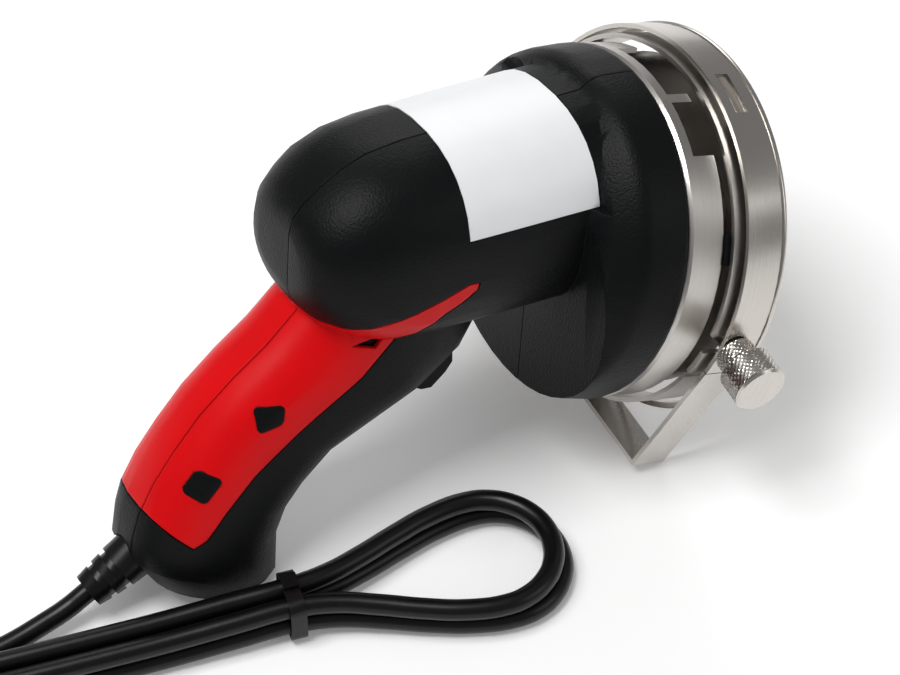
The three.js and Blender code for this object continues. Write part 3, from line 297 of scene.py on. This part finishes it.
# Each slot's material: its name and what makes it
FINISHES = {
    "black_abs": ("moulded_black_abs", shell_abs),
    "red_abs": ("gloss_red_abs", grip_abs),
    "label": ("white_label_film", label_film),
    "black_pvc": ("satin_black_pvc", cord_pvc),
    "brushed_steel": ("brushed_stainless_steel", brushed_steel),
    "polished_steel": ("polished_stainless_steel", polished_steel),
    "zinc_steel": ("zinc_plated_steel", lambda name: plain_finish(name, "#a6a8aa", 1.0, 0.36, 900.0)),
    "cast_aluminium": ("cast_aluminium", lambda name: plain_finish(name, "#bdbfc1", 1.0, 0.48, 700.0)),
    "copper": ("lacquered_copper", lambda name: plain_finish(name, "#b06a35", 1.0, 0.35, 1200.0)),
    "nylon": ("natural_nylon", lambda name: plain_finish(name, "#e5dfce", 0.0, 0.5, 500.0)),
}


def finish_of(slot):
    """The material of a slot, made once."""
    name, make = FINISHES[slot]
    return bpy.data.materials.get(name) or make(name)


def only(obj):
    """Selects one object and nothing else."""
    bpy.ops.object.select_all(action="DESELECT")
    obj.select_set(True)
    bpy.context.view_layer.objects.active = obj


def smooth_skin(node, angle=SMALL_ANGLE, round_edges=0.0):
    """A welded, smoothly shaded copy of a CAD node that stands for it, its edges rounded in millimetres."""
    mesh = NODES[node].data.copy()
    mesh.name = node + "_skin"
    skin = bpy.data.objects.new(node + "_skin", mesh)
    bpy.context.scene.collection.objects.link(skin)
    only(skin)
    if mesh.has_custom_normals:
        bpy.ops.mesh.customdata_custom_splitnormals_clear()
    bpy.ops.object.mode_set(mode="EDIT")
    bpy.ops.mesh.select_all(action="SELECT")
    bpy.ops.mesh.remove_doubles(threshold=SKIN_WELD)
    bpy.ops.object.mode_set(mode="OBJECT")
    if round_edges:
        soft = skin.modifiers.new("rounded_edges", "BEVEL")
        soft.width = round_edges * MM
        soft.segments = 3
        soft.limit_method = "ANGLE"
        soft.angle_limit = math.radians(ROUND_FROM)
        bpy.ops.object.modifier_apply(modifier=soft.name)
    bpy.ops.object.shade_smooth_by_angle(angle=math.radians(angle))
    weigh = skin.modifiers.new("even_shading", "WEIGHTED_NORMAL")
    weigh.keep_sharp = True
    bpy.ops.object.modifier_apply(modifier=weigh.name)
    skin.data.materials.clear()
    skin.data.materials.append(finish_of(SLOT_OF[node]))
    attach(skin, BODY_OF[node])
    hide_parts(node)
    return skin


def paint(node):
    """Gives a CAD node that stays the finish of its slot."""
    obj = NODES[node]
    obj.data.materials.clear()
    obj.data.materials.append(finish_of(SLOT_OF[node]))


# Floor: its width and its place below the part in metres, and the share of white that it gives by itself,
# so that its shadows stay and the rest is pale
FLOOR_SIZE = 7.0
FLOOR_HEIGHT = -0.0003
FLOOR_GLOW = 0.14
WORLD_LIGHT = 0.24
# Lamps: name, place and aim in metres, width in metres and power in watts
LAMPS = [
    ("key_softbox", (-0.5, 0.05, 1.45), (0.0, 0.0, 0.05), 0.7, 16.0),
    ("side_softbox", (0.95, -1.05, 0.85), (0.03, 0.0, 0.06), 0.8, 2.5),
    ("back_softbox", (0.7, 1.15, 0.85), (0.0, 0.0, 0.08), 0.9, 5.5),
]
# Camera of the photograph: sensor and lens in millimetres, its right and backward ways, and its place in
# millimetres from the floor under the head's centre
CAMERA_SENSOR = 36.0
CAMERA_LENS = 119.36
CAMERA_RIGHT = (0.8682, -0.4963, 0.0001)
CAMERA_BACK = (-0.3355, -0.5868, 0.737)
CAMERA_PLACE = (-360.64, -525.2, 698.47)
CAMERA_CLIP = (0.05, 20.0)


def pale_floor():
    """Floor that glows a little for the camera and for what mirrors it or shows it through."""
    made, tree, skin = new_material("pale_studio_floor")
    tint = bpy.context.scene.slicer_colours.floor
    skin.inputs["Base Color"].default_value = tint
    skin.inputs["Emission Color"].default_value = tint
    skin.inputs["Roughness"].default_value = 0.85
    skin.inputs["Specular IOR Level"].default_value = 0.1
    seen = add_node(tree, "ShaderNodeLightPath").outputs
    either = {"operation": "MAXIMUM"}
    mirrored = add_node(tree, "ShaderNodeMath", either, {0: seen["Is Camera Ray"], 1: seen["Is Glossy Ray"]})
    through = add_node(
        tree, "ShaderNodeMath", either, {0: mirrored.outputs["Value"], 1: seen["Is Transmission Ray"]}
    )
    glow = {"operation": "MULTIPLY", 1: FLOOR_GLOW}
    lift = add_node(tree, "ShaderNodeMath", glow, {0: through.outputs["Value"]})
    tree.links.new(lift.outputs["Value"], skin.inputs["Emission Strength"])
    return made


class SLICER_OT_stage(bpy.types.Operator):
    """Makes the pale floor, the soft studio light and the camera"""

    bl_idname = "slicer.stage"
    bl_label = "Stage"

    def execute(self, context):
        scene = context.scene
        scene.view_settings.view_transform = "Standard"
        bpy.ops.object.select_all(action="DESELECT")
        bpy.ops.mesh.primitive_plane_add(size=FLOOR_SIZE, location=(0.0, 0.0, FLOOR_HEIGHT))
        floor = context.object
        floor.name = "studio_floor"
        bpy.ops.object.transform_apply(location=True)
        floor.data.materials.append(pale_floor())

        world = bpy.data.worlds.new("studio_world")
        world.use_nodes = True
        scene.world = world
        sky = world.node_tree.nodes["Background"]
        sky.inputs["Color"].default_value = (1.0, 1.0, 1.0, 1.0)
        sky.inputs["Strength"].default_value = WORLD_LIGHT

        for name, place, aim, size, power in LAMPS:
            bpy.ops.object.light_add(type="AREA", location=place)
            lamp = context.object
            lamp.name = name
            lamp.data.size = size
            lamp.data.energy = power
            lamp.rotation_euler = (Vector(aim) - Vector(place)).to_track_quat("-Z", "Y").to_euler()

        bpy.ops.object.camera_add()
        camera = context.object
        camera.name = "photo_camera"
        camera.data.sensor_width = CAMERA_SENSOR
        camera.data.lens = CAMERA_LENS
        camera.data.clip_start, camera.data.clip_end = CAMERA_CLIP
        back = Vector(CAMERA_BACK).normalized()
        up = back.cross(Vector(CAMERA_RIGHT).normalized()).normalized()
        right = up.cross(back).normalized()
        turn = Matrix((right, up, back)).transposed().to_4x4()
        camera.matrix_world = Matrix.Translation(UNDER_HEAD + Vector(CAMERA_PLACE) * MM) @ turn
        scene.camera = camera
        return {"FINISHED"}


# Hank of cord, in millimetres: its tie on the floor and its turn in degrees, then along it from the tie the
# centres of its end loops and the neck where the left loop closes, and their radii
HANK_TIE = (-138.5, -44.5)
HANK_TURN = -12.2
HANK_RIGHT = 62.0
HANK_LEFT = 192.0
HANK_NECK = 95.0
HANK_LOOP_R = 20.0
OUTER_LOOP_R = HANK_LOOP_R + 7.6
# How much shorter the upper lay's right loop is
LAY_STEP = 3
# Half the distance between strands that lie side by side, and the rise from one lay to the next
STRAND = 3.7
LAYER = 7.1
# Clearance to the floor, the lift inside the tie and the reach of that lift along the hank
FLOOR_LIFT = 0.1
TIE_LIFT = 1.7
TIE_REACH = 26.0
GROUND = CORD_R + FLOOR_LIFT
# Rounding of the tie's edges
TIE_ROUND = 0.5
# Where the cord leaves the boot, in the tool's own axes from the head's centre, and its dip there in degrees
BOOT_MOUTH = (-178.072, 0.0, -78.756)
BOOT_DIP = 31.0
# Points of the straight stub out of the boot, in cord radii
BOOT_STUB = (0.0, 1.0, 2.2)
# The lead from the boot to the hank, in the hank's axes, and its distance from the middle at the neck
LEAD_POINTS = [(-72, 16.6, 5.4), (-78, 14.9, 4.5), (-84, 13.5, 3.9), (-90, 12.5, 3.5)]
LEAD_POINTS += [(-96, 11.9, GROUND), (-102, 11.8, GROUND)]
LEAD_OFFSET = 11.6
# Stations of the lead along the outer loop, the last where lead and hank meet with a gap
LEAD_STATIONS = (-110, -117, -122.5, -128.0)
GAP = 0.3
# Steps from there to the outer loop's round end
LEAD_STEPS = 5
# Run to the plug: stations with their height in lays, one point above the plug, then the plug's end
PLUG_RUN = [(-170, 1.02), (-200, 1.06), (-222, 1.04)]
PLUG_DIP = (-232, 1.4)
PLUG_S = -246.0
PLUG_Z = 7.05


def from_tool(x, y, z):
    """A point of the tool's own axes, in millimetres from the head's centre, in the row frame."""
    return HEAD_CENTRE + (TOOL_X * x + TOOL_Y * y + TOOL_Z * z) * MM


def on_hank(s, l, z):
    """A point of the hank's own axes on the floor, in the row frame."""
    c = math.cos(math.radians(HANK_TURN))
    n = math.sin(math.radians(HANK_TURN))
    return UNDER_HEAD + Vector((HANK_TIE[0] + s * c - l * n, HANK_TIE[1] + s * n + l * c, z)) * MM


def strand_z(s, layer):
    """Height of a strand, a little higher where it passes through the tie."""
    return GROUND + LAYER * layer + TIE_LIFT * math.exp(-((s / TIE_REACH) ** 2))


def strand_point(s, l, layer):
    """A point of a strand that lies on a lay of the hank."""
    return on_hank(s, l, strand_z(s, layer))


def hank_arc(centre, r, start, end, layer, steps=9):
    """The round end of a loop of the hank."""
    out = []
    for i in range(steps + 1):
        t = math.radians(start + (end - start) * i / steps)
        out.append(strand_point(centre + r * math.cos(t), r * math.sin(t), layer))
    return out


def hank_run(s0, l0, s1, l1, layer0, layer1, steps):
    """A straight stretch with an eased climb, without its end points."""
    out = []
    for i in range(1, steps):
        t = i / steps
        ease = t * t * (3 - 2 * t)
        climb = math.sqrt(1 - (1 - ease) ** 2)
        layer = layer0 + (layer1 - layer0) * climb
        out.append(strand_point(s0 + (s1 - s0) * t, l0 + (l1 - l0) * ease, layer))
    return out


def outer_line(at):
    """Outer side of the left loop, where the lead comes in."""
    t = (-at - HANK_NECK) / (HANK_LEFT - HANK_NECK)
    return LEAD_OFFSET + (OUTER_LOOP_R - LEAD_OFFSET) * t * t * (3 - 2 * t)


def cord_route():
    """The cord's whole line, from the boot round the hank to the plug."""
    mouth = from_tool(*BOOT_MOUTH)
    dip = math.radians(BOOT_DIP)
    way = -TOOL_X * math.cos(dip) - TOOL_Z * math.sin(dip)
    out = [mouth + way * (radii * CORD_R * MM) for radii in BOOT_STUB]
    out += [on_hank(*p) for p in LEAD_POINTS]
    out += [strand_point(at, outer_line(at), 0) for at in LEAD_STATIONS]
    join = LEAD_STATIONS[-1] - GAP
    for i in range(1, LEAD_STEPS):
        at = join + (-HANK_LEFT - join) * i / LEAD_STEPS
        out.append(strand_point(at, outer_line(at), 0))
    out += hank_arc(-HANK_LEFT, OUTER_LOOP_R, 90, 270, 0)
    out += hank_run(-HANK_LEFT, -OUTER_LOOP_R, -HANK_NECK, -STRAND, 0, 0, 6)
    for layer, right in ((0, HANK_RIGHT), (1, HANK_RIGHT - LAY_STEP)):
        out.append(strand_point(-HANK_NECK, -STRAND, layer))
        out += hank_run(-HANK_NECK, -STRAND, 0, -STRAND, layer, layer, 5)
        out.append(strand_point(0, -STRAND, layer))
        out += hank_run(0, -STRAND, right, -HANK_LOOP_R, layer, layer, 5)
        out += hank_arc(right, HANK_LOOP_R, -90, 90, layer)
        out += hank_run(right, HANK_LOOP_R, 0, STRAND, layer, layer, 5)
        out.append(strand_point(0, STRAND, layer))
        out += hank_run(0, STRAND, -HANK_NECK, STRAND, layer, layer, 5)
        out.append(strand_point(-HANK_NECK, STRAND, layer))
        if layer == 0:
            out += hank_run(-HANK_NECK, STRAND, -HANK_LEFT, HANK_LOOP_R, 0, 0, 6)
            out += hank_arc(-HANK_LEFT, HANK_LOOP_R, 90, 270, 0)
            out += hank_run(-HANK_LEFT, -HANK_LOOP_R, -HANK_NECK, -STRAND, 0, 1, 6)
    out += hank_run(-HANK_NECK, STRAND, PLUG_RUN[0][0], 0, 1, PLUG_RUN[0][1], 4)
    out += [on_hank(s, 0, GROUND + LAYER * lays) for s, lays in PLUG_RUN]
    out.append(on_hank(PLUG_DIP[0], 0, PLUG_Z + PLUG_DIP[1]))
    out += [on_hank(PLUG_S + 2 * CORD_R, 0, PLUG_Z), on_hank(PLUG_S + GAP, 0, PLUG_Z)]
    return out


class SLICER_OT_cord(bpy.types.Operator):
    """Lays the mains cord from the boot through its hank to the plug"""

    bl_idname = "slicer.cord"
    bl_label = "Mains cord"

    def execute(self, context):
        route = cord_route()
        line = bpy.data.curves.new("mains_cord", "CURVE")
        line.dimensions = "3D"
        line.bevel_depth = context.scene.slicer_sizes.cord_radius
        line.bevel_resolution = 5
        line.resolution_u = 5
        line.use_fill_caps = True
        spline = line.splines.new("BEZIER")
        spline.bezier_points.add(len(route) - 1)
        for point, place in zip(spline.bezier_points, route):
            point.co = place
            point.handle_left_type = "AUTO"
            point.handle_right_type = "AUTO"
        cord = bpy.data.objects.new("mains_cord", line)
        context.scene.collection.objects.link(cord)
        line.materials.append(finish_of("black_pvc"))
        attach(cord, BODY_OF["cord_hank"])
        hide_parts("cord_hank", "cord_lead")
        on_it = [smooth_skin("cord_tie", TIE_ANGLE, TIE_ROUND), smooth_skin("plug_body", GRIP_ANGLE)]
        on_it += [smooth_skin("plug_pin_1"), smooth_skin("plug_pin_2")]
        return {"FINISHED"}


class SLICER_OT_shell(bpy.types.Operator):
    """Dresses the two housing halves, the screws of housing and cup, and the boot"""

    bl_idname = "slicer.shell"
    bl_label = "Shell"

    def execute(self, context):
        for node in ("housing_left", "housing_right"):
            smooth_skin(node, SHELL_ANGLE)
        for node in NODES:
            if node.startswith(("housing_screw", "cup_screw")):
                smooth_skin(node, METAL_ANGLE)
        smooth_skin("strain_relief")
        return {"FINISHED"}


# Pads let into the right grip, in millimetres: their corners in the tool's side view from the head's centre,
# how far from a corner its rounding starts, and how far a pad stands out
PADS = {
    "grip_pad_upper": [(-133.2, -17.4), (-124.5, -17.4), (-125.4, -23.0), (-133.0, -25.0)],
    "grip_pad_lower": [(-150.0, -34.2), (-143.8, -37.5), (-149.6, -44.3), (-155.2, -40.8)],
}
PAD_CORNER = 1.7
PAD_RISE = 0.22
# Rings of a pad from its middle out: share of its width, and drop below its top in millimetres
PAD_RINGS = [(0.3, 0.0), (0.65, 0.0), (0.9, 0.0), (0.95, 0.03), (0.985, 0.12), (1.0, 0.3), (1.0, 0.75)]
# Where the skin is felt round a pad, as shares of the pad's width, and how far off the feelers start
SKIN_RINGS = (1.15, 1.35)
FEELER_START = 60.0


def rounded_outline(corners, reach, steps=5):
    """An outline whose corners are rounded, each from a reach before it to a reach past it."""
    out = []
    for i, corner in enumerate(corners):
        before = corner + (corners[i - 1] - corner).normalized() * reach
        after = corner + (corners[(i + 1) % len(corners)] - corner).normalized() * reach
        for k in range(steps + 1):
            t = k / steps
            out.append(before * (1 - t) ** 2 + corner * 2 * t * (1 - t) + after * t * t)
    return out


def bend_terms(d):
    """The terms of a surface of the second degree."""
    return (1.0, d.x, d.y, d.x * d.x, d.x * d.y, d.y * d.y)


def skin_round(outline, middle):
    """The weights of a smooth surface through the right grip's skin round an outline."""
    mesh = NODES["grip_right"].data
    skin = BVHTree.FromPolygons([v.co for v in mesh.vertices], [p.vertices for p in mesh.polygons])
    terms = []
    heights = []
    for share in SKIN_RINGS:
        for point in outline:
            d = (point - middle) * share
            hit = skin.ray_cast(from_tool(middle.x + d.x, -FEELER_START, middle.y + d.y), TOOL_Y)[0]
            if hit:
                terms.append(bend_terms(d))
                heights.append((hit - HEAD_CENTRE).dot(TOOL_Y) / MM)
    return numpy.linalg.lstsq(numpy.array(terms), numpy.array(heights), rcond=None)[0]


def grip_pad(name, corners):
    """A soft-edged black pad that follows the skin of the right grip round it."""
    outline = rounded_outline([Vector(c) for c in corners], PAD_CORNER)
    middle = sum(outline, Vector((0.0, 0.0))) / len(outline)
    weights = skin_round(outline, middle)

    def on_skin(d, drop):
        y = float(numpy.dot(weights, bend_terms(d))) - PAD_RISE + drop
        return from_tool(middle.x + d.x, y, middle.y + d.y)

    count = len(outline)
    verts = [on_skin(Vector((0.0, 0.0)), 0.0)]
    faces = [(0, 1 + i, 1 + (i + 1) % count) for i in range(count)]
    for ring, (share, drop) in enumerate(PAD_RINGS):
        verts += [on_skin((point - middle) * share, drop) for point in outline]
        if ring:
            low = 1 + (ring - 1) * count
            for i in range(count):
                j = (i + 1) % count
                faces.append((low + i, low + count + i, low + count + j, low + j))
    shape = bpy.data.meshes.new(name)
    shape.from_pydata(verts, [], faces)
    pad = bpy.data.objects.new(name, shape)
    bpy.context.scene.collection.objects.link(pad)
    only(pad)
    bpy.ops.object.mode_set(mode="EDIT")
    bpy.ops.mesh.select_all(action="SELECT")
    bpy.ops.mesh.normals_make_consistent(inside=False)
    bpy.ops.object.mode_set(mode="OBJECT")
    bpy.ops.object.shade_smooth_by_angle(angle=math.radians(PAD_ANGLE))
    shape.materials.append(finish_of("black_abs"))
    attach(pad, BODY_OF["housing_right"])


class SLICER_OT_grips(bpy.types.Operator):
    """Dresses the red hand grips and the trigger, and lays the pads on the right grip"""

    bl_idname = "slicer.grips"
    bl_label = "Grips and trigger"

    def execute(self, context):
        for node in ("grip_left", "grip_right"):
            smooth_skin(node, GRIP_ANGLE)
        smooth_skin("trigger")
        paint("trigger_pin")
        for name, corners in PADS.items():
            grip_pad(name, corners)
        return {"FINISHED"}


class SLICER_OT_label(bpy.types.Operator):
    """Dresses the bare label"""

    bl_idname = "slicer.label"
    bl_label = "Label"

    def execute(self, context):
        smooth_skin("rating_label", GRIP_ANGLE)
        return {"FINISHED"}


class SLICER_OT_head(bpy.types.Operator):
    """Dresses the steel cup, the bearing plate, the inner guard and its posts"""

    bl_idname = "slicer.head"
    bl_label = "Cutting head"

    def execute(self, context):
        posts = [node for node in NODES if node.startswith("guard_post")]
        for node in ["blade_cup", "inner_guard", "bearing_plate"] + posts:
            smooth_skin(node, METAL_ANGLE)
        return {"FINISHED"}


class SLICER_OT_blade(bpy.types.Operator):
    """Dresses the blade with its flange, its nut and its spindle"""

    bl_idname = "slicer.blade"
    bl_label = "Blade"

    def execute(self, context):
        for node in ("blade", "blade_flange", "blade_nut", "spindle"):
            smooth_skin(node, BLADE_ANGLE)
        return {"FINISHED"}


def lathe(name, columns, profile, centre, axis, height=None):
    """A turned piece round an axis: a grid whose rows follow the profile, with an optional relief."""
    rows = len(profile) - 1
    bpy.ops.object.select_all(action="DESELECT")
    bpy.ops.mesh.primitive_grid_add(x_subdivisions=columns, y_subdivisions=rows, size=2.0)
    piece = bpy.context.object
    piece.name = name
    side = axis.orthogonal().normalized()
    other = axis.cross(side)
    for vert in piece.data.vertices:
        u = (vert.co.x + 1) / 2
        station, radius = profile[round((vert.co.y + 1) / 2 * rows)]
        if height:
            radius += height(u, station)
        turn = 2 * math.pi * u
        out = side * math.cos(turn) + other * math.sin(turn)
        vert.co = centre + (axis * station + out * radius) * MM
    bpy.ops.object.mode_set(mode="EDIT")
    bpy.ops.mesh.select_all(action="SELECT")
    bpy.ops.mesh.remove_doubles(threshold=LATHE_WELD)
    bpy.ops.mesh.normals_make_consistent(inside=False)
    bpy.ops.object.mode_set(mode="OBJECT")
    bpy.ops.object.shade_smooth_by_angle(angle=math.radians(LATHE_ANGLE))
    return piece


# Diamond knurl: depth of its grooves and width of the chamfers in millimetres, and grid steps to a tooth
KNURL_DEPTH = 0.35
KNURL_CHAMFER = 0.7
KNURL_STEPS = 4
# Knurled heads on the clamp screw's axis, in millimetres: where the head starts and ends, its radius, its
# teeth, and where its shank starts and the shank's radius
THUMB_HEAD = {"start": 4.9, "end": 15.1, "radius": 8.2, "teeth": 32, "shank": (-8.6, 2.5)}
LOCK_HEAD = {"start": -1.2, "end": 4.5, "radius": 6.1, "teeth": 24, "shank": (-1.2, 3.0)}
# Section of the band's rolled front rim: station along the head's axis and radius, in millimetres
RIM_PROFILE = [(12.5, 58.3), (12.6, 58.75), (12.9, 58.95), (13.4, 59.0), (13.9, 58.85), (14.15, 58.5)]
RIM_PROFILE += [(14.15, 57.2), (13.9, 56.6), (13.4, 56.5), (12.5, 57.0), (12.5, 58.3)]
RIM_COLUMNS = 180


def knurl(name, node, start, end, radius, teeth, shank):
    """A diamond-knurled turned head with chamfered ends, on its shank."""
    pitch = 2 * math.pi * radius / teeth
    steps = KNURL_STEPS * round((end - start - 2 * KNURL_CHAMFER) / pitch)
    first = start + KNURL_CHAMFER
    last = end - KNURL_CHAMFER
    flat = radius - KNURL_CHAMFER
    profile = [(shank[0], 0.0), (shank[0], shank[1]), (start, shank[1]), (start, flat)]
    profile += [(first + (last - first) * i / steps, radius) for i in range(steps + 1)]
    profile += [(end, flat), (end, 0.0)]

    def relief(u, at):
        if not first <= at <= last:
            return 0.0
        left = (teeth * u + (at - first) / pitch) % 1.0
        right = (teeth * u - (at - first) / pitch) % 1.0
        return KNURL_DEPTH * (min(abs(left - 0.5), abs(right - 0.5)) * 2 - 1)

    piece = lathe(name, KNURL_STEPS * teeth, profile, SCREW_POINT, SCREW_AXIS, relief)
    piece.data.materials.append(finish_of(SLOT_OF[node]))
    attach(piece, BODY_OF[node])
    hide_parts(node)


class SLICER_OT_gauge(bpy.types.Operator):
    """Dresses the gauge band with its rolled rim, the V guard, the clamp screw and its lock nut"""

    bl_idname = "slicer.gauge"
    bl_label = "Gauge"

    def execute(self, context):
        for node in ("gauge_band", "v_guard"):
            smooth_skin(node, METAL_ANGLE)
        knurl("thumb_screw_head", "thumb_screw", **THUMB_HEAD)
        knurl("knurled_lock_nut", "lock_nut", **LOCK_HEAD)
        rim = lathe("rolled_rim", RIM_COLUMNS, RIM_PROFILE, HEAD_CENTRE, HEAD_AXIS)
        rim.data.materials.append(finish_of("polished_steel"))
        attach(rim, BODY_OF["gauge_band"])
        return {"FINISHED"}


class SLICER_OT_drive(bpy.types.Operator):
    """Gives the motor, the gears and the switch their finishes"""

    bl_idname = "slicer.drive"
    bl_label = "Drive"

    def execute(self, context):
        for node, obj in NODES.items():
            if not obj.hide_render:
                paint(node)
        return {"FINISHED"}


OPERATORS = (
    SLICER_OT_stage,
    SLICER_OT_cord,
    SLICER_OT_shell,
    SLICER_OT_grips,
    SLICER_OT_label,
    SLICER_OT_head,
    SLICER_OT_blade,
    SLICER_OT_gauge,
    SLICER_OT_drive,
)


class SLICER_PT_panel(bpy.types.Panel):
    """Lists the slicer's steps"""

    bl_idname = "SLICER_PT_panel"
    bl_label = "Kebab slicer"
    bl_space_type = "VIEW_3D"
    bl_region_type = "UI"
    bl_category = "Slicer"

    def draw(self, context):
        for operator in OPERATORS:
            self.layout.operator(operator.bl_idname)
        for group in (context.scene.slicer_colours, context.scene.slicer_sizes):
            for name in group.__annotations__:
                self.layout.prop(group, name)


CLASSES = (SlicerColours, SlicerSizes, *OPERATORS, SLICER_PT_panel)


def register():
    """Registers the classes and the scene's settings."""
    for made in CLASSES:
        bpy.utils.register_class(made)
    bpy.types.Scene.slicer_colours = bpy.props.PointerProperty(type=SlicerColours)
    bpy.types.Scene.slicer_sizes = bpy.props.PointerProperty(type=SlicerSizes)


def unregister():
    """Takes the settings and the classes away again."""
    del bpy.types.Scene.slicer_sizes
    del bpy.types.Scene.slicer_colours
    for made in reversed(CLASSES):
        bpy.utils.unregister_class(made)


def main():
    """Runs each step in turn."""
    register()
    for operator in OPERATORS:
        group, name = operator.bl_idname.split(".")
        getattr(getattr(bpy.ops, group), name)()


if __name__ == "__main__":
    main()
